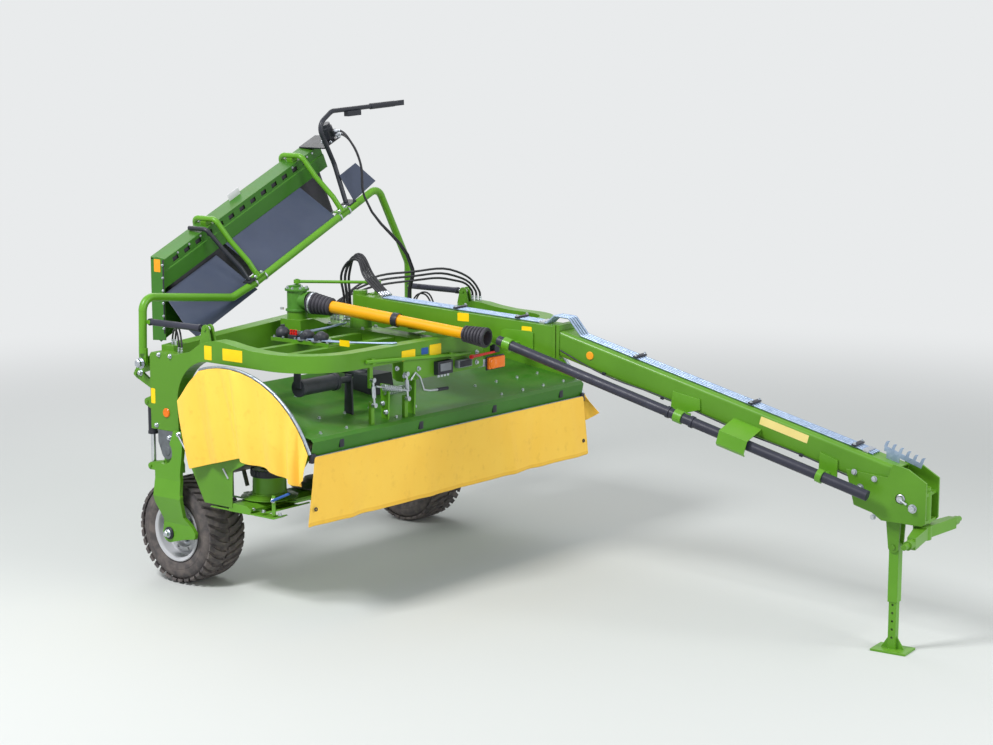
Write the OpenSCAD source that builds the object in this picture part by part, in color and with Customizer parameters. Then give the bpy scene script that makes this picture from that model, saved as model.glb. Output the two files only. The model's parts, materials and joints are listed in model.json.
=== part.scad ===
// Centre-pivot trailed mower with a conditioner and a swath conveyor that swings up behind it.
// +X is the direction of travel, +Y is the left side, +Z is up. Everything stands on Z = 0.
// Inside place() the axle line is X = 0; the whole is then moved so that its middle is at X = 0.

/* [Wheels] */
// Tyre outer diameter
tyre_d = 780; // [700:5:830]
// Tyre section width
tyre_w = 345; // [300:5:380]
// Rim seat diameter
rim_d = 406; // [380:1:430]
// Distance between the tyre centre planes
wheel_track = 2504; // [2440:2:2560]

/* [Frame] */
// Height of the wheel arm pivot
arm_pivot_z = 1000; // [960:5:1040]
// Distance between the middles of the two frame legs
leg_track = 2850; // [2780:10:2900]
// Width of a leg and of its beam across the machine
beam_w = 110; // [90:5:130]
// Depth of a leg along the machine
leg_depth = 290; // [250:5:320]
// Height of the top face of the bow beam
bow_top_z = 1810; // [1780:5:1840]
// Height of the bow beam's section
bow_h = 120; // [100:5:150]
// Front face of the bow beam ahead of the axle
bow_front_x = 1480; // [1440:10:1520]
// Radius of the bow's front corners, on the outside
bow_corner_r = 420; // [350:10:500]
// Thickness of the welded plates
plate_t = 12; // [8:1:16]

/* [Header] */
// Width over the header's side shields
header_w = 3080; // [3060:10:3160]
// Underside of the cutter bar skids, header raised
header_z = 655; // [600:5:700]
// Cutting rotor centre line ahead of the axle
rotor_x = 800; // [780:5:840]
// Distance between neighbouring cutting rotors
rotor_pitch = 496; // [470:2:500]
// Radius over the blade tips
blade_tip_r = 243; // [200:1:244]
// Conditioner rotor radius over its tines
cond_r = 205; // [160:5:210]
// Conditioner rotor axis ahead of the axle
cond_x = 450; // [420:5:460]
// Height of the conditioner rotor axis
cond_z = 950; // [930:5:1000]
// Width of the conditioner
conditioner_w = 2660; // [2200:20:2700]
// Hood front edge ahead of the axle
hood_front_x = 1500; // [1450:5:1560]
// Height of the hood's lower front edge
hood_front_z = 1150; // [1100:5:1180]
// Slope of the hood, degrees
hood_slope = 8; // [4:0.5:10]
// Drop of the front curtain
curtain_drop = 480; // [300:10:500]
// Thickness of the curtain cloth
cloth_t = 6; // [4:1:10]

/* [Drawbar] */
// Drawbar pivot ahead of the axle
pivot_x = 554; // [540:2:600]
// Swing of the drawbar from straight ahead at rest
drawbar_yaw = 5; // [-5:1:8]
// Length from the pivot to the joint rib of the two beams
rear_beam_l = 1790; // [1700:10:1900]
// Length from the pivot to the hitch swivel
drawbar_l = 4520; // [4400:10:4700]
// Width of the drawbar beam
drawbar_w = 200; // [180:5:220]
// Height of the front beam's section, square to the beam
front_beam_h = 180; // [160:5:200]
// Downward slope of the front beam, degrees
front_slope = 15; // [12:0.5:17]
// Height of the rear beam's top face at the pivot
drawbar_top_z = 2045; // [2020:5:2060]
// Height of the rear beam's top face at the joint rib
drawbar_rib_z = 1945; // [1900:5:1960]
// Height of the lower link pins
hitch_z = 820; // [780:5:860]
// Distance between the lower link pins' shoulders
hitch_span = 825; // [700:5:870]

/* [Conveyor] */
// Hinge of the conveyor behind the axle
conveyor_hinge_x = 250; // [240:5:280]
// Height of the conveyor hinge
conveyor_hinge_z = 1620; // [1590:5:1640]
// Tube diameter of the conveyor frame
frame_tube_d = 60; // [48:2:66]
// Roll of the conveyor, its left end up
conveyor_roll = 25; // [22:1:28]
// Width of the conveyor belt
belt_w = 540; // [480:10:560]
// Outer radius of the belt at its rollers
belt_r = 45; // [35:1:50]

/* [Hidden] */
$fn = 48;
// Running clearance of a pin or shaft in its bore, and the gap at a seat
run = 0.09;
seat = 0.3;
// Free gap beside an eye in its clevis
side_gap = 6;

// Wheels and arms
wheel_y = wheel_track / 2;
tyre_r = tyre_d / 2;
rim_r = rim_d / 2;
bead = tyre_w / 2 - 22;
hub_z = tyre_r;
hub_r = 62;
disc_v = 58;
spindle_r = 30;
arm_pin_r = 32;
eye_r = 58;

// Frame
leg_y = leg_track / 2;
leg_out = leg_y + beam_w / 2;
leg_in = leg_y - beam_w / 2;
leg_rear_x = -leg_depth + 130;
leg_front_x = 130;
leg_bottom_z = arm_pivot_z + 150;
leg_top_z = bow_top_z - 97;
bow_bottom_z = bow_top_z - bow_h;
beam_front_x = -20;
beam_rear_x = -150;
mast_w = 190;
mast_top_z = 1770;
mast_front_x = bow_front_x - beam_w;
cross_x = [620, 950];
cross_top_z = 1765;
tray_y = -710;

// Wheel lift cylinders
lift_x = -205;
lift_top_z = 1340;
lift_low_z = arm_pivot_z - 140;
lift_pin_r = 16;
lift_stroke = 200;
barrel_r = 34;
lift_rod_r = 18;
lift_eye_w = 32;

// Arm plate
arm_plate_y = leg_out + 5;
arm_plate_t = 30;

// Header
half_w = header_w / 2;
shield_t = 4;
hood_t = 5;
lip_h = 130;
hood_top_z = hood_front_z + lip_h;
hood_rear_x = 300;
rotor_count = 6;
bar_z = header_z + 12;
bar_h = 60;
bar_depth = 220;
bar_rear_x = rotor_x - bar_depth / 2;
disc_z = bar_z + bar_h + 8;
rotor_pin_r = 25;
drum_r = 130;
rail_r = 12;
rail_arc_r = 868;
rail_arc_x = 711;
rail_arc_z = 821;
float_x = 1200;
float_z = 1570;
rail_y = half_w + seat + rail_r;
cond_shaft_r = 30;

// Turret gearbox and shaft beside the drawbar
turret_x = 180;
turret_y = -300;
turret_base_z = 1860;
shaft_z = 2000;
turret_pin_r = 55;
bearing_s = 1400;
bearing_t = -220;
bearing_z = 1832;
tube_slope = 15.3;

// Drawbar
post_r = 45;
boss_r = 60;
boss_bottom_z = 1900;
beam_corner = 28;
beam_end_s = drawbar_l - 160;
head_t = 16;
swivel_r = 30;
head_top_z = 1090;
stand_s = drawbar_l - 175;
stand_z = 700;
stand_half = 33;
stand_pin_r = 15;
arm_sweep = 68;
link_pin_r = 18.2;
tube_t = bearing_t;
tube_r = 35;

// Swing cylinder and steering rod
swing_x = 120;
swing_y = 400;
swing_z = 1840;
swing_lug_s = 450;
swing_lug_t = 150;
steer_x = turret_x - 90;
steer_y = turret_y + 95;
steer_z = 2125;
steer_lug = [50, 140];

// Conveyor
tube_or = frame_tube_d / 2;
upright_y = leg_out - 17;
conv_pin_x = 50;
conv_pin_z = 300;
arch_pin_x = 400;
arch_pin_z = conveyor_hinge_z + conv_pin_z;
conv_org_y = -324;
conv_org_z = 2096;
far_top_y = 1095;
near_end_y = -960;
near_u = -440;
far_u = 1400;
bed_x = -380;
hoop_v = 512;
hoop_x = -494;
hinge_pin_r = 18;
cyl_pin_r = 12;
hoop_r = 21;
cover_t = 4;
cover_back = 32;
flap_tube_r = 19;
flap_tube_x = -150;

// Overall length, which sets the origin under the middle of the machine
front_over = 134;
rear_end_x = hoop_x - conveyor_hinge_x - hoop_r;
front_end_x = pivot_x + drawbar_l * cos(drawbar_yaw) + front_over;
origin_x = (rear_end_x + front_end_x) / 2;

// ---------- shared shapes ----------

module place() {
    translate([-origin_x, 0, 0]) children();
}

// The right side is built; the left one is its mirror image.
module side(left) {
    if (left) mirror([0, 1, 0]) children();
    else children();
}

module both_sides() {
    for (left = [false, true]) side(left) children();
}

// A cylinder along Y; y0 is the lower end.
module cyl_y(r, y0, y1) {
    translate([0, y0, 0]) rotate([-90, 0, 0]) cylinder(h = y1 - y0, r = r);
}

// A cylinder along X.
module cyl_x(r, x0, x1) {
    translate([x0, 0, 0]) rotate([0, 90, 0]) cylinder(h = x1 - x0, r = r);
}

// A straight round bar between two points.
module bar(a, b, r) {
    d = b - a;
    len = norm(d);
    translate(a)
        rotate([0, acos(d[2] / len), atan2(d[1], d[0])])
            cylinder(h = len, r = r);
}

// The unit vector along v, and the turning angle between two unit vectors.
function unit(v) = v / norm(v);
function turn(u, v) = acos(max(-1, min(1, u * v)));

// How much of each straight a bend of radius bend_r takes at corner i of a route.
function cut_back(pts, i, bend_r) = i <= 0 || i >= len(pts) - 1 ? 0
    : bend_r * tan(turn(unit(pts[i] - pts[i - 1]), unit(pts[i + 1] - pts[i])) / 2);

// The round elbow at a corner, a true torus a shade fuller than the straights that enter it.
module elbow(before, corner, after, r, bend_r) {
    u = unit(corner - before);
    v = unit(after - corner);
    n = unit(v - (v * u) * u);
    w = cross(u, n);
    c = corner - u * bend_r * tan(turn(u, v) / 2) + n * bend_r;
    multmatrix([[-n[0], u[0], w[0], c[0]], [-n[1], u[1], w[1], c[1]], [-n[2], u[2], w[2], c[2]], [0, 0, 0, 1]])
        rotate_extrude(angle = turn(u, v)) translate([bend_r, 0]) circle(r = r * 1.015 + 0.2);
}

// A round tube bent along a route of corner points.
module bent_bar(points, r, bend_r) {
    for (i = [0 : len(points) - 2]) {
        u = unit(points[i + 1] - points[i]);
        bar(points[i] + u * max(0, cut_back(points, i, bend_r) - 3),
            points[i + 1] - u * max(0, cut_back(points, i + 1, bend_r) - 3), r);
    }
    for (i = [1 : len(points) - 2]) elbow(points[i - 1], points[i], points[i + 1], r, bend_r);
}

// A plate drawn in the XZ plane between y0 and y1.
module plate_xz(points, y0, y1) {
    translate([0, y1, 0]) rotate([90, 0, 0]) linear_extrude(height = y1 - y0) polygon(points);
}

// A plate drawn in the YZ plane between x0 and x1.
module plate_yz(points, x0, x1) {
    translate([x0, 0, 0]) rotate([90, 0, 90]) linear_extrude(height = x1 - x0) polygon(points);
}

// Points of an arc about a centre.
function arc(cx, cz, r, a0, a1, n) =
    [for (i = [0 : n]) [cx + r * cos(a0 + (a1 - a0) * i / n), cz + r * sin(a0 + (a1 - a0) * i / n)]];

// The left-hand normal of the step from a to b, and the mitred normal at point i of a line.
function left_of(a, b) = let (u = unit(b - a)) [-u[1], u[0]];
function mitre(pts, i) =
    let (a = left_of(pts[max(i - 1, 0)], pts[max(i, 1)]),
         b = left_of(pts[min(i, len(pts) - 2)], pts[min(i + 1, len(pts) - 1)]))
    (a + b) / (1 + a * b);

// The outline of a bent sheet of thickness t that lies on the left of a line of points.
function sheet(pts, t) =
    concat(pts, [for (i = [len(pts) - 1 : -1 : 0]) pts[i] + t * mitre(pts, i)]);

// A rounded rectangle centred on the origin.
module round_rect(w, h, r) {
    square([w - 2 * r, h], center = true);
    square([w, h - 2 * r], center = true);
    for (x = [-1, 1], y = [-1, 1]) translate([x * (w / 2 - r), y * (h / 2 - r)]) circle(r = r);
}

// ---------- wheels ----------

// Turned about the wheel's axle, with the profile's height pointing outwards.
module on_axle(left) {
    place() side(left) translate([0, -wheel_y, hub_z]) rotate([90, 0, 0]) children();
}

module tyre(left) {
    half = tyre_w / 2;
    base = rim_r + seat;
    flange = rim_r + 26;
    color("dimgray") on_axle(left) rotate_extrude($fn = 96) polygon(concat(
        [[base, -bead + seat], [flange, -bead + seat], [flange + 6, -half + 10]],
        arc(tyre_r - 92, -half + 70, 70, -160, -90, 6),
        [[tyre_r - 34, -half + 6], [tyre_r - 12, -half + 24], [tyre_r - 3, -half + 60], [tyre_r, -half + 110]],
        [[tyre_r, half - 110], [tyre_r - 3, half - 60], [tyre_r - 12, half - 24], [tyre_r - 34, half - 6]],
        arc(tyre_r - 92, half - 70, 70, 90, 160, 6),
        [[flange + 6, half - 10], [flange, bead - seat], [base, bead - seat]]
    ));
}

module rim(left) {
    color("silver") on_axle(left) difference() {
        rotate_extrude($fn = 96) polygon([
            [rim_r, -bead], [rim_r, -70], [rim_r - 23, -50], [rim_r - 23, 20], [rim_r, 40], [rim_r, bead],
            [rim_r + 19, bead + 1], [rim_r + 23, bead + 8], [rim_r + 19, bead + 15], [rim_r + 10, bead + 13],
            [rim_r - 3, bead + 6], [rim_r - 7, bead - 2], [rim_r - 7, 74], [rim_r - 27, 64],
            [rim_r - 43, 88], [rim_r - 75, 94], [rim_r - 88, 70], [84, 66], [84, disc_v], [rim_r - 83, disc_v + 2],
            [rim_r - 71, 84], [rim_r - 47, 79], [rim_r - 35, 50], [rim_r - 30, 26], [rim_r - 30, -46],
            [rim_r - 7, -66], [rim_r - 7, -bead], [rim_r - 3, -bead - 7], [rim_r + 10, -bead - 13],
            [rim_r + 19, -bead - 15], [rim_r + 23, -bead - 8], [rim_r + 19, -bead - 1]
        ]);
        for (i = [0 : 7]) rotate([0, 0, i * 45 + 22]) translate([rim_r - 59, 0, 60])
            cylinder(h = 60, r = 12);
    }
}

module hub(left) {
    color("black") on_axle(left) difference() {
        union() {
            translate([0, 0, -60]) cylinder(h = 100, r = hub_r);
            translate([0, 0, disc_v - 22]) cylinder(h = 22, r = 100);
            translate([0, 0, disc_v - 1]) cylinder(h = 17, r = 84 - seat);
            translate([0, 0, disc_v]) cylinder(h = 60, r = hub_r - 6);
        }
        translate([0, 0, -80]) cylinder(h = 240, r = spindle_r + run);
    }
}

// The arm's plate seen from the side, with its cut round the pivot casting and its toe.
function arm_outline() = concat(
    [[110, arm_pivot_z + 165], [190, arm_pivot_z + 165], [200, arm_pivot_z + 130], [196, arm_pivot_z + 30],
     [168, arm_pivot_z - 150], [178, arm_pivot_z - 300], [186, hub_z + 300], [170, hub_z + 140],
     [250, hub_z + 60], [272, hub_z + 30], [262, hub_z - 10], [150, hub_z - 30]],
    arc(0, hub_z, 70, -60, -180, 6),
    [[-50, hub_z + 110], [-98, hub_z + 230], [-96, arm_pivot_z - 130], [-70, arm_pivot_z - 105]],
    arc(0, arm_pivot_z, 92, -110, 45, 8)
);

// The bent section of the arm's plate across the machine: out past the tyre, then in to the hub.
function arm_section() =
    let (y = arm_plate_y + arm_plate_t, in = wheel_y + tyre_w / 2 + 22)
    [for (p = [[y, arm_pivot_z + 200], [y, arm_pivot_z - 200], [y + 22, arm_pivot_z - 330], [in + arm_plate_t, hub_z + 80],
        [in + arm_plate_t, hub_z - 80], [in, hub_z - 80], [in, hub_z + 84], [y - arm_plate_t + 22, arm_pivot_z - 327],
        [y - arm_plate_t, arm_pivot_z - 196], [y - arm_plate_t, arm_pivot_z + 200]]) [-p[0], p[1]]];

module arm_ear(y0, y1) {
    plate_xz(concat([[-60, arm_pivot_z - 85], [lift_x, arm_pivot_z - 110]],
        arc(lift_x, lift_low_z, 25, 100, 260, 6),
        [[-60, arm_pivot_z - 165]]), y0, y1);
}

module wheel_arm(left) {
    neck_w = beam_w - 60;
    ear = lift_eye_w / 2 + side_gap;
    color("limegreen") place() side(left) difference() {
        union() {
            intersection() {
                plate_yz(arm_section(), -300, 300);
                plate_xz(arm_outline(), -half_w - 60, -wheel_y);
            }
            translate([0, -leg_y, arm_pivot_z]) cyl_y(eye_r, -neck_w / 2, neck_w / 2);
            plate_xz([[-50, arm_pivot_z], [52, arm_pivot_z], [100, arm_pivot_z - 100], [100, arm_pivot_z - 160],
                [-70, arm_pivot_z - 160], [-70, arm_pivot_z - 100]], -leg_y - neck_w / 2, -leg_y + neck_w / 2);
            plate_xz([[-70, arm_pivot_z - 98], [98, arm_pivot_z - 98], [98, arm_pivot_z - 158],
                [-70, arm_pivot_z - 158]], -arm_plate_y - 2, -leg_y - neck_w / 2 + 1);
            arm_ear(-leg_y - ear - 14, -leg_y - ear);
            arm_ear(-leg_y + ear, -leg_y + ear + 14);
            translate([lift_x, -leg_y, lift_low_z]) {
                cyl_y(lift_pin_r - 3, -ear - 24, -ear - 1);
                cyl_y(lift_pin_r - 3, ear + 1, ear + 24);
            }
            translate([0, 0, hub_z]) cyl_y(spindle_r, -wheel_y - tyre_w / 2 - 30, -wheel_y + 90);
        }
        translate([0, -leg_y, arm_pivot_z]) cyl_y(arm_pin_r + run, -neck_w, neck_w);
    }
}

// ---------- carrier frame ----------

// A leg and its arch in side view, one closed box.
module leg_outline() {
    polygon(concat(
        [[leg_rear_x, leg_bottom_z], [leg_front_x, leg_bottom_z], [leg_front_x - 4, 1300]],
        arc(445, 1375, 320, 176, 92, 12),
        [[1060, bow_bottom_z], [1060, bow_top_z], [900, bow_top_z + 4], [750, bow_top_z + 18],
         [620, bow_top_z + 38], [520, bow_top_z + 44], [380, bow_top_z + 12]],
        arc(215, bow_top_z + 45, 115, -62, -92, 4),
        [[110, leg_top_z], [leg_rear_x + 20, leg_top_z], [leg_rear_x, leg_top_z - 20]]
    ));
}

// Plan of the bow beam's outer or inner edge.
module bow_plan(inset) {
    y = leg_out - inset;
    front = bow_front_x - inset;
    r = bow_corner_r - inset;
    translate([1000, -y]) square([front - r - 1000, 2 * y]);
    translate([1000, -y + r]) square([front - 1000, 2 * (y - r)]);
    for (s = [-1, 1]) translate([front - r, s * (y - r)]) circle(r = r, $fn = 96);
}

module lug_xz(x, z, r, root_z, root, y0, y1) {
    plate_xz(concat([[x + root, root_z]], arc(x, z, r, 20, 160, 6), [[x - root, root_z]]), y0, y1);
}

// The rear lug that carries the conveyor's hinge, with its window.
module rear_lug() {
    x = -conveyor_hinge_x;
    difference() {
        plate_xz(concat([[leg_rear_x + 20, leg_top_z - 30], [-200, 1690]],
            arc(x, conveyor_hinge_z, 46, 70, 120, 4), [[-372, 1572]], arc(-358, 1528, 36, 120, 250, 5),
            [[leg_rear_x + 20, 1400]]), -leg_y - 1, -leg_y + 21);
        plate_xz([[-205, 1600], [-232, 1560], [-300, 1536], [-205, 1480]], -leg_y - 2, -leg_y + 22);
    }
}

module carrier_frame() {
    eye = barrel_r + side_gap;
    rod_eye = 17;
    color("forestgreen") place() {
        both_sides() translate([0, -leg_in, 0]) rotate([90, 0, 0])
            linear_extrude(height = beam_w) leg_outline();
        difference() {
            translate([0, 0, bow_bottom_z]) linear_extrude(height = bow_h) difference() {
                bow_plan(0);
                bow_plan(beam_w);
            }
            translate([0, -2000, bow_bottom_z - 1]) cube([1050, 4000, bow_h + 2]);
        }
        plate_yz([[-leg_in - 2, 1600], [0, 1640], [leg_in + 2, 1600], [leg_in + 2, 1752], [0, 1848],
            [-leg_in - 2, 1752]], beam_rear_x, beam_front_x);
        both_sides() {
            for (y = [-eye - 12, eye]) plate_xz(concat([[leg_rear_x + 5, lift_top_z + 50]],
                arc(lift_x, lift_top_z, 28, 110, 250, 6), [[leg_rear_x + 5, lift_top_z - 50]]),
                -leg_y + y, -leg_y + y + 12);
            translate([lift_x, -leg_y, lift_top_z]) cyl_y(lift_pin_r, -eye - 20, eye + 20);
            for (y = [-rod_eye - 12, rod_eye])
                lug_xz(arch_pin_x, arch_pin_z, 34, bow_top_z + 5, 60, -leg_y + y, -leg_y + y + 12);
            for (y = [-rod_eye - 20, rod_eye + 1]) translate([arch_pin_x, -leg_y + y, arch_pin_z])
                cyl_y(cyl_pin_r, 0, 19);
            rear_lug();
            translate([-conveyor_hinge_x, -leg_y, conveyor_hinge_z]) cyl_y(hinge_pin_r, -62, 22);
            translate([-358, -leg_y, 1528]) cyl_y(14, -26, 26);
        }
        both_sides() for (x = cross_x) translate([x - 30, -leg_in - 1, cross_top_z - 60])
            cube([60, leg_in + 1 - mast_w / 2, 60]);
        difference() {
            translate([cross_x[0] - 240, tray_y - 75, cross_top_z + seat]) cube([580, 150, 28]);
            translate([cross_x[0] - 250, tray_y - 69, cross_top_z + 6]) cube([600, 138, 40]);
        }
        translate([cross_x[0] - 20, tray_y - 20, cross_top_z - 1]) cube([40, 40, 3]);
        translate([mast_front_x, 330, 0]) rotate([90, 0, 0]) linear_extrude(height = 890)
            polygon([[0, bow_bottom_z + 1], [0, 1560], [40, 1540], [104, 1540], [beam_w, 1560], [beam_w, bow_bottom_z + 1]]);
    }
}

// The clevis castings under the legs, with the pins that carry the wheel arms.
module arm_bearings() {
    slot = beam_w / 2 - 25;
    color("gray") place() both_sides() {
        difference() {
            plate_xz(concat([[-92, leg_bottom_z], [-92, arm_pivot_z + 60]],
                arc(0, arm_pivot_z, 62, 190, 350, 10), [[72, arm_pivot_z + 60], [72, leg_bottom_z]]),
                -leg_out + 2, -leg_in - 2);
            plate_xz([[-100, arm_pivot_z - 80], [100, arm_pivot_z - 80], [100, arm_pivot_z + 70],
                [-100, arm_pivot_z + 70]], -leg_y - slot, -leg_y + slot);
        }
        translate([0, -leg_y, arm_pivot_z]) cyl_y(arm_pin_r, -beam_w / 2 - 2, beam_w / 2 + 2);
    }
}

// The box beam from the cross beam to the bow, with the drawbar's post and the turret's bracket.
module centre_mast() {
    half = mast_w / 2;
    color("forestgreen") place() {
        difference() {
            plate_xz([[beam_front_x, 1660], [200, 1650], [mast_front_x, bow_bottom_z + 10],
                [mast_front_x, mast_top_z - 10], [1200, mast_top_z], [200, mast_top_z + 40],
                [beam_front_x, mast_top_z + 40]], -half, half);
            plate_xz([[beam_front_x + 40, 1660 + plate_t], [200, 1650 + plate_t],
                [mast_front_x - 40, bow_bottom_z + 8 + plate_t], [mast_front_x - 40, mast_top_z - 8 - plate_t],
                [1200, mast_top_z - plate_t], [200, mast_top_z + 40 - plate_t],
                [beam_front_x + 40, mast_top_z + 40 - plate_t]], -half + plate_t, half - plate_t);
        }
        translate([pivot_x, 0, 1730]) cylinder(h = boss_bottom_z - seat - 1730, r1 = 92, r2 = 76);
        translate([pivot_x, 0, 1780]) cylinder(h = drawbar_top_z + 28 - 1780, r = post_r);
        translate([pivot_x, 0, drawbar_top_z + 5 + seat]) cylinder(h = 24, r = boss_r - 4, $fn = 6);
        difference() {
            plate_yz([[-half + 5, 1665], [-half + 5, 1800], [turret_y + 60, turret_base_z],
                [turret_y - 80, turret_base_z], [turret_y - 80, 1780], [turret_y + 20, 1690]],
                turret_x - 100, turret_x + 110);
            plate_yz([[-half - 20, 1690], [-half - 20, 1780], [turret_y + 40, turret_base_z - plate_t - 8],
                [turret_y - 60, turret_base_z - plate_t - 8], [turret_y - 60, 1790], [turret_y + 30, 1712]],
                turret_x - 100 + plate_t, turret_x + 110 - plate_t);
        }
        translate([turret_x, turret_y, turret_base_z - 1]) cylinder(h = 61, r = 78);
        translate([turret_x, turret_y, turret_base_z]) cylinder(h = 100, r = turret_pin_r);
        difference() {
            plate_xz([[beam_front_x + 2, mast_top_z - 30], [swing_x - 40, swing_z - 60], [swing_x + 50, swing_z - 60],
                [swing_x + 50, swing_z - 40], [beam_front_x, swing_z - 40]], half - 5, swing_y + 50);
            plate_xz([[beam_front_x + 20, mast_top_z - 40], [swing_x + 60, mast_top_z - 40],
                [swing_x + 60, swing_z - 55], [beam_front_x + 20, swing_z - 55]], half + 15, swing_y + 60);
        }
        translate([swing_x, swing_y, swing_z - 50]) cylinder(h = 92, r = 15);
        translate([swing_x, swing_y, swing_z + 24]) cylinder(h = 10, r = 21);
        translate([swing_x, swing_y, swing_z - 42]) cylinder(h = 18, r = 21);
    }
}

// ---------- header ----------

// Height of the hood's top face at x, and of what seats against its underside.
function hood_z(x) = hood_top_z + (hood_front_x - x) * tan(hood_slope);
function hood_under(x) = hood_z(x) - hood_t / cos(hood_slope) - seat;

module header_hood() {
    line = [[hood_front_x, hood_front_z], [hood_front_x + 24, hood_top_z - 22], [hood_front_x, hood_top_z],
        [hood_rear_x, hood_z(hood_rear_x)], [hood_rear_x - 30, hood_z(hood_rear_x) - 50]];
    color("forestgreen") place() {
        translate([0, half_w - shield_t, 0]) rotate([90, 0, 0])
            linear_extrude(height = header_w - 2 * shield_t) polygon(sheet(line, hood_t));
        for (y = [-1100, -500, 500, 1100]) plate_xz([[hood_rear_x + 10, hood_z(hood_rear_x + 10) - hood_t + 2],
            [hood_front_x - 20, hood_z(hood_front_x - 20) - hood_t + 2], [hood_front_x - 60, hood_z(hood_front_x - 60) - 60],
            [hood_rear_x + 10, hood_z(hood_rear_x + 10) - 90]], y - 4, y + 4);
    }
}

module side_shields() {
    color("green") place() both_sides() {
        plate_xz(concat(
            [[hood_front_x - 2, hood_front_z + 4]],
            arc(rail_arc_x, rail_arc_z, rail_arc_r - 2, 27, 108, 14),
            [[300, 1500], [220, 1330], [300, 960], [450, header_z + 40], [730, header_z + 40], [740, 960], [900, 1040],
             [1300, 1040], [1380, 1000]]), -half_w, -half_w + shield_t);
    }
}

// One skid under the bar, swept up at its front and rear.
module skid(y, half) {
    plate_xz([[bar_rear_x - 60, header_z + 40], [bar_rear_x - 20, header_z], [rotor_x + 130, header_z],
        [rotor_x + 250, header_z + 40], [rotor_x + 244, header_z + 50], [rotor_x + 128, header_z + 14],
        [bar_rear_x - 16, header_z + 14], [bar_rear_x - 54, header_z + 50]], y - half, y + half);
}

module cutter_bar() {
    color("darkgreen") place() {
        plate_xz([[bar_rear_x, bar_z], [rotor_x + 90, bar_z], [rotor_x + bar_depth / 2, bar_z + 22],
            [rotor_x + bar_depth / 2, bar_z + 38], [rotor_x + 60, bar_z + bar_h], [bar_rear_x, bar_z + bar_h]],
            -half_w + shield_t, half_w - shield_t);
        for (i = [0 : rotor_count - 1]) {
            skid(rotor_y(i), 150);
            translate([rotor_x, rotor_y(i), bar_z + bar_h - 1]) cylinder(h = 7, r = 90);
            translate([rotor_x, rotor_y(i), bar_z + bar_h - 1]) cylinder(h = 66, r = rotor_pin_r);
        }
        both_sides() plate_xz([[bar_rear_x - 190, bar_z + 2], [rotor_x + 330, bar_z + 2], [rotor_x + 380, bar_z + 24],
            [rotor_x + 370, bar_z + 30], [rotor_x + 320, bar_z + 12], [bar_rear_x - 180, bar_z + 12]],
            -half_w + shield_t, -half_w + shield_t + 90);
    }
}

function rotor_y(i) = (i - (rotor_count - 1) / 2) * rotor_pitch;

module rotor(i) {
    outer = i == 0 || i == rotor_count - 1;
    disc_r = blade_tip_r - 40;
    color("dimgray") place() translate([rotor_x, rotor_y(i), disc_z]) difference() {
        union() {
            rotate_extrude() polygon([[0, 0], [disc_r - 30, 0], [disc_r, 3], [disc_r, 8], [disc_r - 40, 14],
                [120, 34], [100, 60], [0, 64]]);
            if (outer) rotate_extrude() polygon([[60, 30], [drum_r, 30], [drum_r, 36], [drum_r - 8, 40],
                [drum_r - 12, 176], [drum_r, 184], [drum_r, 196], [drum_r - 20, 204], [60, 204]]);
            for (a = [0, 180]) rotate([0, 0, a]) difference() {
                translate([disc_r - 50, -24, -5]) cube([blade_tip_r - disc_r + 50, 48, 5.5]);
                translate([disc_r - 20, 0, -10]) cylinder(h = 5, r = 8);
            }
        }
        translate([0, 0, -10]) cylinder(h = 72, r = rotor_pin_r + run);
    }
}

module conditioner_housing() {
    half = conditioner_w / 2;
    color("darkgreen") place() {
        both_sides() plate_xz([[170, 980], [260, 760], [400, bar_z + 42], [bar_rear_x - seat, bar_z + 42],
            [bar_rear_x - seat, bar_z + 54], [530, bar_z + 54], [530, 980], [650, 1080],
            [720, 1080], [720, hood_under(720)], [330, hood_under(330)], [180, 1200]], -half - 6, -half);
        translate([0, half, 0]) rotate([90, 0, 0]) linear_extrude(height = 2 * half)
            polygon(sheet(concat(arc(cond_x, cond_z, cond_r + 30, 22, 100, 8), [[220, 1210], [190, 1190]]), -5));
    }
    color("silver") place() both_sides()
        translate([cond_x, 0, cond_z]) cyl_y(cond_shaft_r, -half - 14, -half + 60);
}

// A shaft with swinging V-shaped tines set round it in a spiral.
module conditioner_rotor() {
    half = conditioner_w / 2 - side_gap;
    tines = 30;
    pitch = (2 * half - 120) / (tines - 1);
    color("gray") place() translate([cond_x, 0, cond_z]) difference() {
        union() {
            cyl_y(85, -half, half);
            for (i = [0 : tines - 1]) translate([0, -half + 60 + i * pitch, 0]) rotate([0, i * 72, 0])
                for (lean = [-14, 14]) rotate([lean, 0, 0]) translate([78, -5, -15]) cube([cond_r - 84, 10, 30]);
        }
        cyl_y(cond_shaft_r + run, -half - 1, -half + 60);
        cyl_y(cond_shaft_r + run, half - 60, half + 1);
    }
}

module front_curtain() {
    x = hood_front_x + 2 * rail_r + 2 * seat;
    top = hood_front_z + 10;
    color("gold") place() plate_yz([[-half_w + 10, top], [-half_w - 60, top - curtain_drop],
        [half_w + 60, top - curtain_drop], [half_w - 10, top]], x, x + cloth_t);
}

module side_curtain(left) {
    y = rail_y + rail_r + seat;
    color("gold") place() side(left) plate_xz(concat(
        [[200, 1405], [450, 1625]],
        arc(rail_arc_x, rail_arc_z, rail_arc_r - 4, 108, 24, 14),
        [[1500, 1010], [1425, 940], [1212, 1015], [835, 1066], [324, 940]]
    ), -y - cloth_t, -y);
}

module curtain_rails() {
    color("slategray") place() {
        translate([hood_front_x + seat + rail_r, 0, hood_front_z]) cyl_y(rail_r, -half_w, half_w);
        both_sides() translate([rail_arc_x, -rail_y, rail_arc_z]) rotate([90, 0, 0]) rotate([0, 0, 24])
            rotate_extrude(angle = 84, $fn = 96) translate([rail_arc_r, 0]) circle(r = rail_r, $fn = 24);
    }
}

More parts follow.
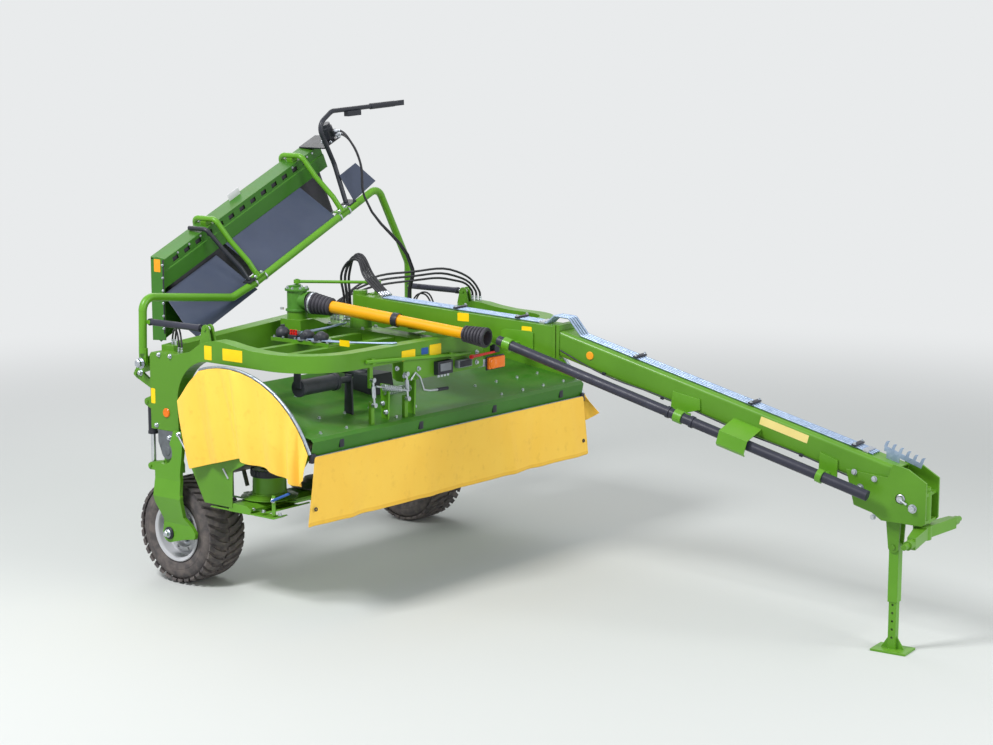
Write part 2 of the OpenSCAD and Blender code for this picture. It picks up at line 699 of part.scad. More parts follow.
// The links that hang the header under the bow, the crank and the front rod with its lever.
module header_suspension() {
    x = mast_front_x + 55;
    color("limegreen") place() {
        bar([bow_front_x + 20, -974, 1737], [bow_front_x + 20, 150, 1662], 12);
        for (y = [-900, -60]) translate([bow_front_x, y - 12, 1717 - (y + 974) * 75 / 1124]) cube([26, 24, 40]);
        for (y = [-700, -420])
            plate_xz([[x - 40, 1540], [x + 40, 1540], [x + 30, hood_z(x + 30) + seat], [x - 30, hood_z(x - 30) + seat]],
                y - 8, y + 8);
        translate([x, 0, 1480]) cyl_y(14, -730, -390);
    }
}

// The gearbox on the hood, the vertical drive to it from the turret and their guard.
module drop_gearbox() {
    x = 860;
    color("dimgray") place() {
        plate_xz([[x - 110, hood_z(x - 110) + seat], [x + 110, hood_z(x + 110) + seat], [x + 80, 1500], [x - 80, 1500]],
            -330, -90);
        bar([x - 60, -210, 1470], [turret_x + 40, turret_y + 20, 1600], 42);
        translate([turret_x, turret_y + 25, 1560]) cylinder(h = 118, r = 60);
        translate([float_x, 0, float_z]) {
            cyl_y(56, -1330, -980);
            cyl_y(62, -1345, -1318);
            cyl_y(62, -1000, -972);
            cyl_y(24, -973, -838);
        }
        plate_xz([[float_x - 34, float_z], [float_x + 34, float_z], [float_x + 28, bow_bottom_z - seat],
            [float_x - 28, bow_bottom_z - seat]], -1356, -1344);
        plate_xz([[float_x - 40, hood_z(float_x - 40) + seat], [float_x + 40, hood_z(float_x + 40) + seat],
            [float_x + 30, float_z + 34], [float_x - 30, float_z + 34]], -842, -828);
        difference() {
            translate([bow_front_x + seat, -235, 1552]) cube([42, 165, 96]);
            translate([bow_front_x + 20, -225, 1562]) cube([30, 145, 76]);
        }
        translate([bow_front_x + 18, -190, 1585]) cube([22, 60, 30]);
    }
}

// The two gas-charged accumulators that lie on the tray and the one that stands behind them.
module accumulators() {
    floor_z = cross_top_z + 6 + seat;
    color("black") place() {
        translate([cross_x[0] - 190, tray_y, floor_z]) rotate_extrude()
            polygon(concat([[0, 0], [46, 0]], arc(0, 44, 52, -28, 62, 8), [[16, 96], [16, 108], [0, 108]]));
        for (x = [cross_x[0] + 60, cross_x[0] + 200]) {
            translate([x, tray_y - 60, floor_z + 46]) rotate([-90, 0, 0]) rotate_extrude()
                polygon(concat([[0, 0], [26, 4]], arc(0, 60, 46, -52, 52, 8), [[26, 112], [0, 116]]));
            translate([x - 30, tray_y - 14, floor_z]) cube([60, 28, 20]);
        }
        translate([cross_x[0] - 90, tray_y - 50, floor_z]) cube([84, 100, 46]);
    }
}

// ---------- wheel lift cylinders ----------

module lift_barrel(left) {
    bottom = lift_top_z - 242;
    color("dimgray") place() side(left) translate([lift_x, -leg_y, 0]) difference() {
        union() {
            translate([0, 0, bottom]) cylinder(h = 228, r = barrel_r);
            translate([0, 0, bottom]) cylinder(h = 22, r = barrel_r + 3);
            translate([0, 0, lift_top_z]) cyl_y(27, 2 - barrel_r, barrel_r - 2);
        }
        translate([0, 0, bottom - 1]) cylinder(h = lift_stroke + 15, r = lift_rod_r + run);
        translate([0, 0, lift_top_z]) cyl_y(lift_pin_r + run, -barrel_r - 1, barrel_r + 1);
    }
}

module lift_rod(left) {
    color("silver") place() side(left) translate([lift_x, -leg_y, 0]) {
        translate([0, 0, lift_low_z]) cyl_y(25, -lift_eye_w / 2, lift_eye_w / 2);
        translate([0, 0, lift_low_z + 15]) cylinder(h = lift_top_z - 242 + 12 - lift_low_z - 15, r = lift_rod_r);
    }
}

// ---------- drawbar ----------

module on_drawbar() {
    place() translate([pivot_x, 0, 0]) rotate([0, 0, drawbar_yaw]) children();
}

// A frame whose X runs down the front beam's centre line from the rib.
module on_front_beam() {
    on_drawbar() translate([rear_beam_l + 26, 0, drawbar_rib_z - 26 - front_beam_h / 2 * cos(front_slope)])
        rotate([0, front_slope, 0]) children();
}

front_beam_l = (beam_end_s - rear_beam_l - 26) / cos(front_slope);
beam_rear_low = [[0, boss_bottom_z], [240, boss_bottom_z], [400, 1840], [1195, bow_top_z + 18], [1400, 1722],
    [rear_beam_l, 1732]];

module rear_beam() {
    intersection() {
        plate_xz(concat(beam_rear_low, [[rear_beam_l, drawbar_rib_z], [0, drawbar_top_z]]), -150, 150);
        translate([0, 0, 1600]) linear_extrude(height = 600) polygon([[0, -boss_r], [80, -boss_r], [330, -82], [620, -drawbar_w / 2],
            [rear_beam_l, -drawbar_w / 2], [rear_beam_l, drawbar_w / 2], [620, drawbar_w / 2], [330, 82], [80, boss_r],
            [0, boss_r]]);
    }
    translate([0, 0, boss_bottom_z]) cylinder(h = drawbar_top_z + 5 - boss_bottom_z, r = boss_r);
}

module drawbar_beam() {
    color("forestgreen") {
        on_drawbar() difference() {
            union() {
                rear_beam();
                plate_yz([[-drawbar_w / 2 - 8, 1722], [drawbar_w / 2 + 8, 1722], [drawbar_w / 2 + 8, drawbar_rib_z + 14],
                    [-drawbar_w / 2 - 8, drawbar_rib_z + 14]], rear_beam_l - 8, rear_beam_l + 14);
                plate_yz([[-drawbar_w / 2 - 8, 1722], [drawbar_w / 2 + 8, 1722], [drawbar_w / 2 + 8, drawbar_rib_z + 14],
                    [-drawbar_w / 2 - 8, drawbar_rib_z + 14]], rear_beam_l + 22, rear_beam_l + 46);
                translate([rear_beam_l, -drawbar_w / 2 + 20, 1740]) cube([40, drawbar_w - 40, drawbar_rib_z - 1750]);
                for (z = [swing_z - 40, swing_z + 26]) translate([swing_lug_s - 60, 70, z])
                    cube([100, swing_lug_t - 70, 14]);
                translate([swing_lug_s - 60, 78, swing_z - 38]) cube([100, 20, 110]);
                for (z = [swing_z - 40, swing_z + 26]) translate([swing_lug_s, swing_lug_t, z])
                    cylinder(h = 14, r = 36);
                for (z = [swing_z - 50, swing_z + 39]) translate([swing_lug_s, swing_lug_t, z])
                    cylinder(h = 11, r = 14);
            }
            translate([0, 0, 1700]) cylinder(h = 500, r = post_r + run);
        }
        on_front_beam() rotate([90, 0, 90]) difference() {
            linear_extrude(height = front_beam_l) round_rect(drawbar_w, front_beam_h, beam_corner);
            translate([0, 0, 60]) linear_extrude(height = front_beam_l)
                round_rect(drawbar_w - 20, front_beam_h - 20, beam_corner - 10);
        }
        on_drawbar() {
            rotate([0, 0, -drawbar_yaw]) translate([steer_lug[0] - 30, steer_lug[1] - 90, drawbar_top_z - 12])
                cube([60, 100, 16]);
            rotate([0, 0, -drawbar_yaw]) translate([steer_lug[0], steer_lug[1], drawbar_top_z - 12])
                cylinder(h = steer_z - 22 - drawbar_top_z + 12, r = 26);
        }
    }
}

// Height of the front beam's top face at s.
function front_top_z(s) = drawbar_rib_z - 26
    - (s - rear_beam_l - 26 - front_beam_h / 2 * sin(front_slope)) * tan(front_slope);

// Four pipes along the beam's top, with their hump over the rib.
module drawbar_pipes() {
    lift = 8.6;
    start = 250;
    function top(s) = drawbar_top_z - (drawbar_top_z - drawbar_rib_z) * s / rear_beam_l + lift;
    function low(s) = front_top_z(s) + lift / cos(front_slope);
    color("lightsteelblue") on_drawbar() for (i = [0 : 3])
        bent_bar([[start, -48 + i * 32, top(start)], [rear_beam_l - 90, -48 + i * 32, top(rear_beam_l - 90)],
            [rear_beam_l - 30, -48 + i * 32, drawbar_rib_z + 70], [rear_beam_l + 90, -48 + i * 32, drawbar_rib_z + 62],
            [rear_beam_l + 190, -48 + i * 32, low(rear_beam_l + 190)],
            [drawbar_l - 330, -48 + i * 32, low(drawbar_l - 330)]], 8, 30);
    color("lightsteelblue") on_drawbar() hose_comb();
}

// The rack that the tractor's hoses hang in: a plate on edge with a row of leaning teeth.
module hose_comb() {
    foot = drawbar_l - 260;
    rear = [drawbar_l - 278, front_top_z(foot) + 48];
    fall = [245, -86] / 5;
    half_t = 3;
    plate_xz([[foot, front_top_z(foot) + seat], [foot + 90, front_top_z(foot + 90) + seat],
        [foot + 90, front_top_z(foot + 90) + 60], [foot, front_top_z(foot) + 60]], -half_t, half_t);
    plate_xz([rear, rear + 5.2 * fall, rear + 5.3 * fall + [6, 30], rear + [6, 34]], -half_t, half_t);
    for (i = [0 : 5]) plate_xz([for (p = [[0, 28], [20, 22], [30, 52], [40, 66], [22, 66], [12, 56]])
        rear + i * fall + p], -half_t, half_t);
}

function tube_z(s) = bearing_z - (s - bearing_s) * tan(tube_slope);

// The shaft's guard tube beside the beam, with its brackets.
// A bearing arm from the beam's side to the tube at s, with its clamp round the tube.
module tube_bracket(s, l, plate) {
    side_t = -drawbar_w / 2 - 12;
    difference() {
        union() {
            plate_xz(plate, side_t, side_t + 12 - seat);
            translate([s - l / 2, tube_t, tube_z(s) - 8]) cube([l, side_t + 6 - tube_t, 16]);
            translate([s, tube_t, tube_z(s)]) rotate([0, 90 + tube_slope, 0])
                cylinder(h = l, r = tube_r + 10, center = true);
        }
        bar([s - 200, tube_t, tube_z(s - 200)], [s + 200, tube_t, tube_z(s + 200)], tube_r + seat);
    }
}

module tube_brackets() {
    color("limegreen") on_drawbar() {
        tube_bracket(1480, 60, [[1350, 1770], [1620, 1770], [1620, 1888], [1590, 1900], [1380, 1900], [1350, 1888]]);
        tube_bracket(2860, 60, [[2735, 1463], [2820, 1430], [2960, 1470], [2956, 1543], [2750, 1580]]);
        tube_bracket(3900, 40, [[3835, 1120], [3965, 1085], [3970, 1240], [3845, 1280]]);
    }
    side_t = drawbar_w / 2 + seat;
    color("limegreen") on_front_beam() plate_yz(sheet([[-side_t, -60], [-side_t, -17], [tube_t - 62, -75],
        [tube_t - 62, -168], [tube_t - 36, -190]], 5), 1448, 1661);
}

module drive_tube() {
    color("black") on_drawbar() {
        bar([bearing_s, tube_t, tube_z(bearing_s)], [drawbar_l - 290, tube_t, tube_z(drawbar_l - 290)], tube_r);
        for (s = [2780, 2960]) translate([s, tube_t, tube_z(s)]) rotate([0, 90 + tube_slope, 0])
            cylinder(h = 22, r = tube_r + 6, center = true);
    }
}

module drawbar_head() {
    half = drawbar_w / 2;
    color("forestgreen") on_drawbar() {
        for (s = [-1, 1]) difference() {
            plate_xz([[drawbar_l - 487, 1192], [drawbar_l - 427, 963], [drawbar_l - 300, 927], [stand_s - 60, 884],
                [drawbar_l + 40, 878], [drawbar_l + 62, 900], [drawbar_l + 62, 1160], [drawbar_l - 60, 1236],
                [drawbar_l - 166, 1262], [drawbar_l - 200, 1170]],
                s > 0 ? half + seat : -half - head_t - seat, s > 0 ? half + head_t + seat : -half - seat);
            translate([drawbar_l - 110, 0, 1040]) cyl_y(34, -half - 40, half + 40);
        }
        difference() {
            union() {
                translate([stand_s - 58, -half - 6, 886]) cube([drawbar_l + 50 - stand_s + 58, drawbar_w + 12, 18]);
                for (t = [-stand_half - 14, stand_half + 2]) plate_xz(concat([[stand_s - 56, 888]],
                    arc(stand_s, stand_z, 36, 190, 350, 8), [[stand_s + 46, 888]]), t, t + 12);
                translate([drawbar_l - 46, -half - 6, 1060]) cube([92, drawbar_w + 12, 18]);
                translate([drawbar_l, 0, 880]) cylinder(h = head_top_z - 880, r = 52);
            }
            translate([drawbar_l, 0, 800]) cylinder(h = 300, r = swivel_r + run);
        }
        translate([stand_s, 0, stand_z]) cyl_y(stand_pin_r, -stand_half - 22, stand_half + 22);
    }
}

module swivel_gearbox() {
    color("forestgreen") place() translate([turret_x, turret_y, 0]) difference() {
        union() {
            translate([0, 0, turret_base_z + 60 + seat]) cylinder(h = 14, r = 88);
            translate([0, 0, turret_base_z + 70]) cylinder(h = 150, r = 76);
            translate([0, 0, turret_base_z + 214]) cylinder(h = 16, r = 92);
            rotate([0, 0, shaft_yaw]) translate([0, 0, shaft_z]) cyl_x(62, 0, 112);
            rotate([0, 0, shaft_yaw]) translate([0, 0, shaft_z]) cyl_x(72, 108, 120);
            translate([-90, 95, steer_z - 40]) cylinder(h = 18, r = 28);
            translate([-100, 0, steer_z - 40]) cube([60, 95, 18]);
            translate([-90, 95, steer_z - 30]) cylinder(h = 50, r = 12);
        }
        translate([0, 0, turret_base_z]) cylinder(h = 101, r = turret_pin_r + run);
    }
}

bearing_p = [pivot_x + bearing_s * cos(drawbar_yaw) - bearing_t * sin(drawbar_yaw),
    bearing_s * sin(drawbar_yaw) + bearing_t * cos(drawbar_yaw), bearing_z];
shaft_yaw = atan2(bearing_p[1] - turret_y, bearing_p[0] - turret_x);
shaft_run = norm([bearing_p[0] - turret_x, bearing_p[1] - turret_y]);
shaft_drop = atan2(shaft_z - bearing_z, shaft_run);
shaft_l = norm([shaft_run, shaft_z - bearing_z]);

// A frame whose X runs along the shaft from the turret to the bearing.
module on_shaft() {
    place() translate([turret_x, turret_y, shaft_z]) rotate([0, shaft_drop, shaft_yaw]) children();
}

// A ribbed rubber boot, n ribs between x0 and x1, tapering from r0 to r1, on bores b0 and b1.
module boot(x0, x1, r0, r1, b0, b1, n) {
    p = (x1 - x0) / n;
    function radius(i) = r0 + (r1 - r0) * i / n;
    rotate([0, 90, 0]) rotate_extrude() polygon(concat(
        [for (i = [0 : n - 1], k = [0 : 3])
            [radius(i) + (k == 1 || k == 2 ? 0 : -9), x0 + p * (i + [0, 0.25, 0.65, 0.9][k])]],
        [[radius(n) - 9, x1], [b1, x1], [b0, x0]]));
}

module shaft_boot_rear() {
    color("black") on_shaft() boot(127, 335, 84, 64, 50, 47, 7);
}

module guard_outer() {
    color("orange") on_shaft() difference() {
        union() {
            cyl_x(46, 132, 940);
            cyl_x(49, 900, 940);
        }
        cyl_x(40 + run, 400, 941);
    }
}

module guard_inner() {
    color("gold") on_shaft() cyl_x(40, 700, shaft_l - 190);
}

module shaft_boot_front() {
    color("black") on_shaft() {
        boot(shaft_l - 290, shaft_l - 95, 60, 76, 40 + seat, 52, 7);
    }
}

module steering_rod() {
    front = [pivot_x + steer_lug[0], steer_lug[1], steer_z];
    rear = [steer_x, steer_y, steer_z];
    color("yellowgreen") place() difference() {
        union() {
            bar(rear, front, 12);
            translate([0, 0, -14]) {
                translate(rear) cylinder(h = 28, r = 26);
                translate(front) cylinder(h = 28, r = 26);
            }
        }
        translate(rear - [0, 0, 30]) cylinder(h = 60, r = 12 + run);
    }
}

// The yoke turns about the swivel; its arms are swept forward to the lower link pins.
module hitch_yoke() {
    arm = hitch_span / 2 - 62;
    color("forestgreen") on_drawbar() translate([drawbar_l, 0, 0]) {
        translate([0, 0, hitch_z - 30]) cylinder(h = head_top_z + 10 - hitch_z + 30, r = swivel_r);
        translate([0, 0, head_top_z + seat]) cylinder(h = 22, r = swivel_r + 16);
        translate([0, 0, hitch_z - 48]) cylinder(h = 92, r = 60);
        for (s = [-1, 1]) translate([0, 0, hitch_z]) {
            translate([0, 0, -38]) linear_extrude(height = 76) polygon([[-44, 0], [arm_sweep - 28, s * arm],
                [arm_sweep + 28, s * arm], [48, 0]]);
            translate([arm_sweep, 0, 0]) {
                cyl_y(30, s > 0 ? arm - 5 : -hitch_span / 2, s > 0 ? hitch_span / 2 : -arm + 5);
                cyl_y(link_pin_r, s > 0 ? arm : -hitch_span / 2 - 60, s > 0 ? hitch_span / 2 + 60 : -arm);
            }
        }
    }
}

// The folding stand: an outer tube on its pin, the inner tube with its holes, and the foot plate.
module parking_stand() {
    half = stand_half;
    color("limegreen") on_drawbar() translate([stand_s, 0, 0]) {
        difference() {
            union() {
                translate([-half, -half, 330]) cube([2 * half, 2 * half, stand_z - 330]);
                translate([0, 0, stand_z]) cyl_y(half, -half, half);
                translate([-half + 7, -half + 7, 12]) cube([2 * half - 14, 2 * half - 14, 330]);
            }
            translate([0, 0, stand_z]) cyl_y(stand_pin_r + run, -drawbar_w, drawbar_w);
            for (z = [90 : 55 : 310]) translate([0, 0, z]) cyl_y(8, -half - 1, half + 1);
        }
        translate([-120, -90, 0]) cube([240, 180, 14]);
        for (s = [-1, 1]) translate([s > 0 ? half - 9 : -81, -5, 12]) plate_xz(s > 0 ? [[0, 0], [57, 0], [0, 90]]
            : [[0, 0], [57, 0], [57, 90]], 0, 10);
    }
}

swing_front = [pivot_x + swing_lug_s * cos(drawbar_yaw) - swing_lug_t * sin(drawbar_yaw),
    swing_lug_s * sin(drawbar_yaw) + swing_lug_t * cos(drawbar_yaw)];
swing_angle = atan2(swing_front[1] - swing_y, swing_front[0] - swing_x);
swing_l = norm(swing_front - [swing_x, swing_y]);

module on_swing() {
    place() translate([swing_x, swing_y, swing_z]) rotate([0, 0, swing_angle]) children();
}

module swing_barrel() {
    color("forestgreen") on_swing() difference() {
        union() {
            cyl_x(36, 25, 520);
            cyl_x(40, 490, 520);
            translate([0, 0, -18]) cylinder(h = 36, r = 32);
        }
        translate([0, 0, -30]) cylinder(h = 60, r = 15 + run);
        cyl_x(18 + run, 60, 521);
    }
}

module swing_rod() {
    color("silver") on_swing() {
        cyl_x(18, 300, swing_l - 20);
        translate([swing_l, 0, -18]) cylinder(h = 36, r = 26);
    }
}

// ---------- conveyor ----------

// A frame at the foot of the trough: X along the machine, Y up along the belt, Z across it.
module on_trough() {
    place() translate([-conveyor_hinge_x, conv_org_y, conv_org_z]) rotate([conveyor_roll, 0, 0]) children();
}

// A hoop that carries the trough: a bent tube on a foot plate, with its leaf-shaped gusset.
module hoop(u) {
    foot = tube_or + seat;
    translate([-45, u - 50, foot]) cube([75, 100, 12]);
    bent_bar([[-8, u, foot + 6], [-50, u, 150], [-170, u, 330], [-250, u, hoop_v], [hoop_x, u, hoop_v],
        [hoop_x, u, 400]], hoop_r, 60);
    translate([0, u + 5, 0]) rotate([90, 0, 0]) linear_extrude(height = 10)
        polygon([[-40, foot + 10], [25, foot + 10], [-20, 110], [-60, 170], [-75, 165]]);
    translate([0, u + 30, 0]) rotate([90, 0, 0]) linear_extrude(height = 60)
        polygon([[-340, 461], [-400, 469.6], [-400, 496], [-340, 496]]);
}

module conveyor_hoops() {
    color("limegreen") on_trough() for (u = [62, 1110]) hoop(u);
}

module conveyor_frame() {
    color("limegreen") {
        place() translate([-conveyor_hinge_x, 0, 0])
            bent_bar([[0, -upright_y, conveyor_hinge_z + 70], [0, -upright_y + 12, 2100], [0, -560, 2010],
                [0, conv_org_y, conv_org_z], [0, far_top_y, conv_org_z + (far_top_y - conv_org_y) * tan(conveyor_roll)],
                [0, upright_y, 2110],
                [0, upright_y, conveyor_hinge_z + 70]], tube_or, 95);
        place() both_sides() difference() {
            plate_xz(concat([[-conveyor_hinge_x + 36, conveyor_hinge_z + 110]],
                [[-conveyor_hinge_x - 36, conveyor_hinge_z + 110]],
                arc(-conveyor_hinge_x, conveyor_hinge_z, 36, 180, 360, 8)), -leg_y - 45, -leg_y - 21);
            translate([-conveyor_hinge_x, -leg_y, conveyor_hinge_z]) cyl_y(hinge_pin_r + run, -60, -10);
        }
        place() both_sides() translate([-conveyor_hinge_x + conv_pin_x, -leg_y, arch_pin_z]) {
            translate([-conv_pin_x - 10, -20, -14]) cube([conv_pin_x + 10, 6, 28]);
            cyl_y(16, -20, -14);
            cyl_y(cyl_pin_r, -18, 22);
        }
    }
}

// Section of the trough's sheet: cover panel, groove wall, flange, top and back.
module trough_sheet(points, t, u0, u1) {
    translate([0, u1, 0]) rotate([90, 0, 0]) linear_extrude(height = u1 - u0) polygon(sheet(points, t));
}

module conveyor_trough() {
    color("darkgreen") {
        difference() {
            on_trough() union() {
                for (u = [near_u, far_u - 100], v = [-126, belt_w - 109.7]) translate([-456, u - 45, v])
                    cube([120, 90, 6]);
                trough_sheet([[-318, 262], [-318, 372], [-326, 378], [-326, 452], [-452, 470], [-452, -120], [-430, -140]],
                    -6, -700, far_u);
            }
            place() translate([-1200, near_end_y - 900, 1500]) cube([1200, 900, 1200]);
            on_trough() for (i = [0 : 12]) translate([-345, -400 + i * 130, 395]) cube([30, 62, 36]);
        }
        place() plate_xz([[-700, 1690], [-555, 1700], [-555, 2318], [-640, 2330], [-700, 2300]],
            near_end_y - 6 - seat, near_end_y - seat);
    }
}

module conveyor_belt() {
    color("black") on_trough() translate([bed_x, 0, -110]) linear_extrude(height = belt_w) difference() {
        belt_loop(belt_r);
        belt_loop(belt_r - 5);
    }
}

module belt_loop(r) {
    translate([-r, near_u]) square([2 * r, far_u - 100 - near_u]);
    translate([0, near_u]) circle(r = r);
    translate([0, far_u - 100]) circle(r = r);
}

module conveyor_rollers() {
    color("gray") on_trough() for (u = [near_u, far_u - 100]) translate([bed_x, u, -119.7])
        cylinder(h = belt_w + 9.7, r = belt_r - 5 - seat);
}

module conveyor_barrel(left) {
    x = -conveyor_hinge_x + conv_pin_x;
    color("dimgray") place() side(left) translate([0, -leg_y, arch_pin_z]) difference() {
        union() {
            cyl_x(24, x + 20, 330);
            cyl_x(27, 306, 330);
            translate([x, 0, 0]) cyl_y(26, -11, 11);
        }
        cyl_x(cyl_pin_r + run, x + 30, 331);
        translate([x, 0, 0]) cyl_y(cyl_pin_r + run, -30, 30);
    }
}

module conveyor_rod(left) {
    x = -conveyor_hinge_x + conv_pin_x;
    color("silver") place() side(left) translate([0, -leg_y, arch_pin_z]) {
        cyl_x(cyl_pin_r, x + 32, arch_pin_x - 15);
        translate([arch_pin_x, 0, 0]) cyl_y(22, -11, 11);
    }
}

// The slate sheets between the hoops, at the foot and beyond the far hoop.
module conveyor_cover() {
    edge = [-26, 16];
    along = unit([-284, 244]);
    out = [along[1], -along[0]];
    foot = edge - cover_back * out;
    color("darkslategray") {
        on_trough() trough_sheet([edge, edge + 376 * along], cover_t, 120, 1040);
        difference() {
            on_trough() trough_sheet([foot - 70 * along, foot + 360 * along], cover_t, -700, 4);
            place() translate([-1200, near_end_y - 900, 1500]) cube([1200, 900, 1200]);
        }
        on_trough() translate([-19.3, 0, 23.7]) rotate([0, -16.5, 0])
            plate_yz([[1285, 0], [1590, 20], [1497, 240], [1285, 236]], -cover_t, 0);
    }
}

// The black tube that carries the far flap, the short hoop at the foot and the belt's motor.
module flap_tube() {
    r = flap_tube_r;
    tip = [flap_tube_x, 2224, 430];
    knee = [flap_tube_x, 1489, 722];
    d = unit(tip - knee);
    color("black") on_trough() {
        bent_bar([[-60, 1232, 38], [flap_tube_x, 1330, 330], [flap_tube_x, 1297, 690], knee, tip], r, 90);
        translate([-82, 1188, tube_or + seat]) cube([100, 88, 10]);
        bar(tip - 330 * d, tip - 40 * d, r + 6);
        translate(tip) rotate([-21.7, 0, 0]) translate([-4, -40, -22]) cube([8, 125, 44]);
        translate(knee + 170 * d) rotate([-21.7, 0, 0]) translate([-26, 0, -57]) cube([52, 150, 42]);
        bent_bar([[-14, -28, 46], [-52, -28, 150], [-165, -40, 320], [-250, -52, 486], [hoop_x + 62, -60, 492]], 17, 60);
        translate([-45, -66, 36.2]) cube([75, 74, 10]);
        translate([-452, 1300, 477.2]) cube([452 + flap_tube_x - r - seat, 210, 10]);
        translate([-225, 1445, 486]) {
            cylinder(h = 24, r = 34);
            translate([0, 0, 20]) cylinder(h = 95, r = 48);
            translate([0, 0, 110]) cylinder(h = 34, r = 38);
            translate([-30, -20, 40]) cube([110, 40, 50]);
        }
    }
}

// ---------- nodes ----------

carrier_frame();
centre_mast();
arm_bearings();
header_hood();
side_shields();
cutter_bar();
conditioner_housing();
conditioner_rotor();
front_curtain();
side_curtain(false);  // side_curtain_right
side_curtain(true);  // side_curtain_left
curtain_rails();
header_suspension();
drop_gearbox();
rotor(0);  // rotor_1
rotor(1);  // rotor_2
rotor(2);  // rotor_3
rotor(3);  // rotor_4
rotor(4);  // rotor_5
rotor(5);  // rotor_6
wheel_arm(false);  // wheel_arm_right
wheel_arm(true);  // wheel_arm_left
hub(false);  // hub_right
hub(true);  // hub_left
rim(false);  // rim_right
rim(true);  // rim_left
tyre(false);  // tyre_right
tyre(true);  // tyre_left
lift_barrel(false);  // lift_barrel_right
lift_barrel(true);  // lift_barrel_left
lift_rod(false);  // lift_rod_right
lift_rod(true);  // lift_rod_left
drawbar_beam();
drawbar_pipes();
drive_tube();
tube_brackets();
drawbar_head();
shaft_boot_front();
swivel_gearbox();
shaft_boot_rear();
guard_outer();
guard_inner();
steering_rod();
hitch_yoke();
parking_stand();
swing_barrel();
swing_rod();
conveyor_frame();
conveyor_hoops();
conveyor_trough();
conveyor_belt();
conveyor_rollers();
conveyor_barrel(false);  // conveyor_barrel_right
conveyor_barrel(true);  // conveyor_barrel_left
conveyor_rod(false);  // conveyor_rod_right
conveyor_rod(true);  // conveyor_rod_left
conveyor_cover();
flap_tube();
accumulators();
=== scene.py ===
"""The finish of a centre-pivot trailed mower: paints, cloth curtains, tyres, hoses and small fittings."""

import json
import logging
import math
from collections.abc import Sequence
from dataclasses import dataclass
from enum import Enum
from functools import lru_cache

import bmesh
import bpy
from mathutils import Matrix, Vector


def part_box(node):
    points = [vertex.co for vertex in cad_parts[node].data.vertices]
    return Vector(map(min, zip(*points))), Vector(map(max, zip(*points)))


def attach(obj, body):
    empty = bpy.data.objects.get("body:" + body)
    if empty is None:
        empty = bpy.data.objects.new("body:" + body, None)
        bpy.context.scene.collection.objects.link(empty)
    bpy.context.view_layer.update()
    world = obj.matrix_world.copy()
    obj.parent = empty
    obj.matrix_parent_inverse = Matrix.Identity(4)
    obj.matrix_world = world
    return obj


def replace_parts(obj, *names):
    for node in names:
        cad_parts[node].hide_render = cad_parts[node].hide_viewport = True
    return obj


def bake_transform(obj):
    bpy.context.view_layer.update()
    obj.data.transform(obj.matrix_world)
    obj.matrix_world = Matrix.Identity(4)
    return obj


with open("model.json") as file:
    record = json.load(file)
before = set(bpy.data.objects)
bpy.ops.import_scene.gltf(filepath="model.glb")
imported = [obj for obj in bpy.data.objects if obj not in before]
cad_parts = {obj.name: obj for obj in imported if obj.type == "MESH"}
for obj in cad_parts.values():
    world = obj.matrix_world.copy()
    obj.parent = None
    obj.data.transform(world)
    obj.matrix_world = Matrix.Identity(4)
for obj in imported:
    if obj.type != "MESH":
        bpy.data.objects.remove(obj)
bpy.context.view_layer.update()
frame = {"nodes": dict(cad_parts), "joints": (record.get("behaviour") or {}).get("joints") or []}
LOG = logging.getLogger("trailed_mower")

Pair = tuple[float, float]
Point = tuple[float, float, float] | Vector
Shape = bmesh.types.BMesh
Vert = bmesh.types.BMVert
Socket = bpy.types.NodeSocket
Tree = bpy.types.NodeTree

FORE, UP = Vector((1, 0, 0)), Vector((0, 0, 1))
RIGHT, LEFT = Vector((0, -1, 0)), Vector((0, 1, 0))


# ---------- small tools ----------

def linear(code: str) -> tuple[float, float, float, float]:
    """Turns an sRGB hex colour to linear red, green, blue and alpha."""
    parts = [int(code[i:i + 2], 16) / 255 for i in (1, 3, 5)]
    return (*[p / 12.92 if p <= 0.04045 else ((p + 0.055) / 1.055) ** 2.4 for p in parts], 1.0)


def connect(tree: Tree, node: bpy.types.Node, inputs: dict) -> None:
    """Sets a node's inputs, by name or number, to values or links them to output sockets.

    Args:
        tree: the tree that holds the node.
        node: the node.
        inputs: values or output sockets, by the input's name or number.
    """
    for key, value in inputs.items():
        if isinstance(value, Socket):
            tree.links.new(value, node.inputs[key])
        else:
            node.inputs[key].default_value = value


def add_node(tree: Tree, kind: str, inputs: dict | None = None, **settings) -> bpy.types.Node:
    """Adds a shader node with its settings and links.

    Args:
        tree: the node tree of a material or world.
        kind: the node's type name after ShaderNode.
        inputs: values or output sockets for the node's inputs, by name or number.
        settings: the node's own properties.

    Returns:
        The new node.
    """
    node = tree.nodes.new("ShaderNode" + kind)
    for key, value in settings.items():
        setattr(node, key, value)
    connect(tree, node, inputs or {})
    return node


def empty_tree(owner: bpy.types.Material | bpy.types.World) -> Tree:
    """Gives a material's or world's node tree with nothing in it.

    Args:
        owner: the material or world.

    Returns:
        Its node tree.
    """
    owner.use_nodes = True
    owner.node_tree.nodes.clear()
    return owner.node_tree


def mm(x: float, y: float, z: float) -> Vector:
    """Turns millimetres to a point in metres."""
    return Vector((x, y, z)) / 1000


def shift(x: float, y: float, z: float) -> Matrix:
    """Gives the placing that moves a shape by millimetres."""
    return Matrix.Translation(mm(x, y, z))


def tilt(degrees: float, axis: str) -> Matrix:
    """Gives a turn about an axis."""
    return Matrix.Rotation(math.radians(degrees), 4, axis)


def joint_place(name: str) -> Vector:
    """Gives the point that a packed joint turns about."""
    return Vector(next(j for j in frame["joints"] if j["name"] == name)["pos_m"])


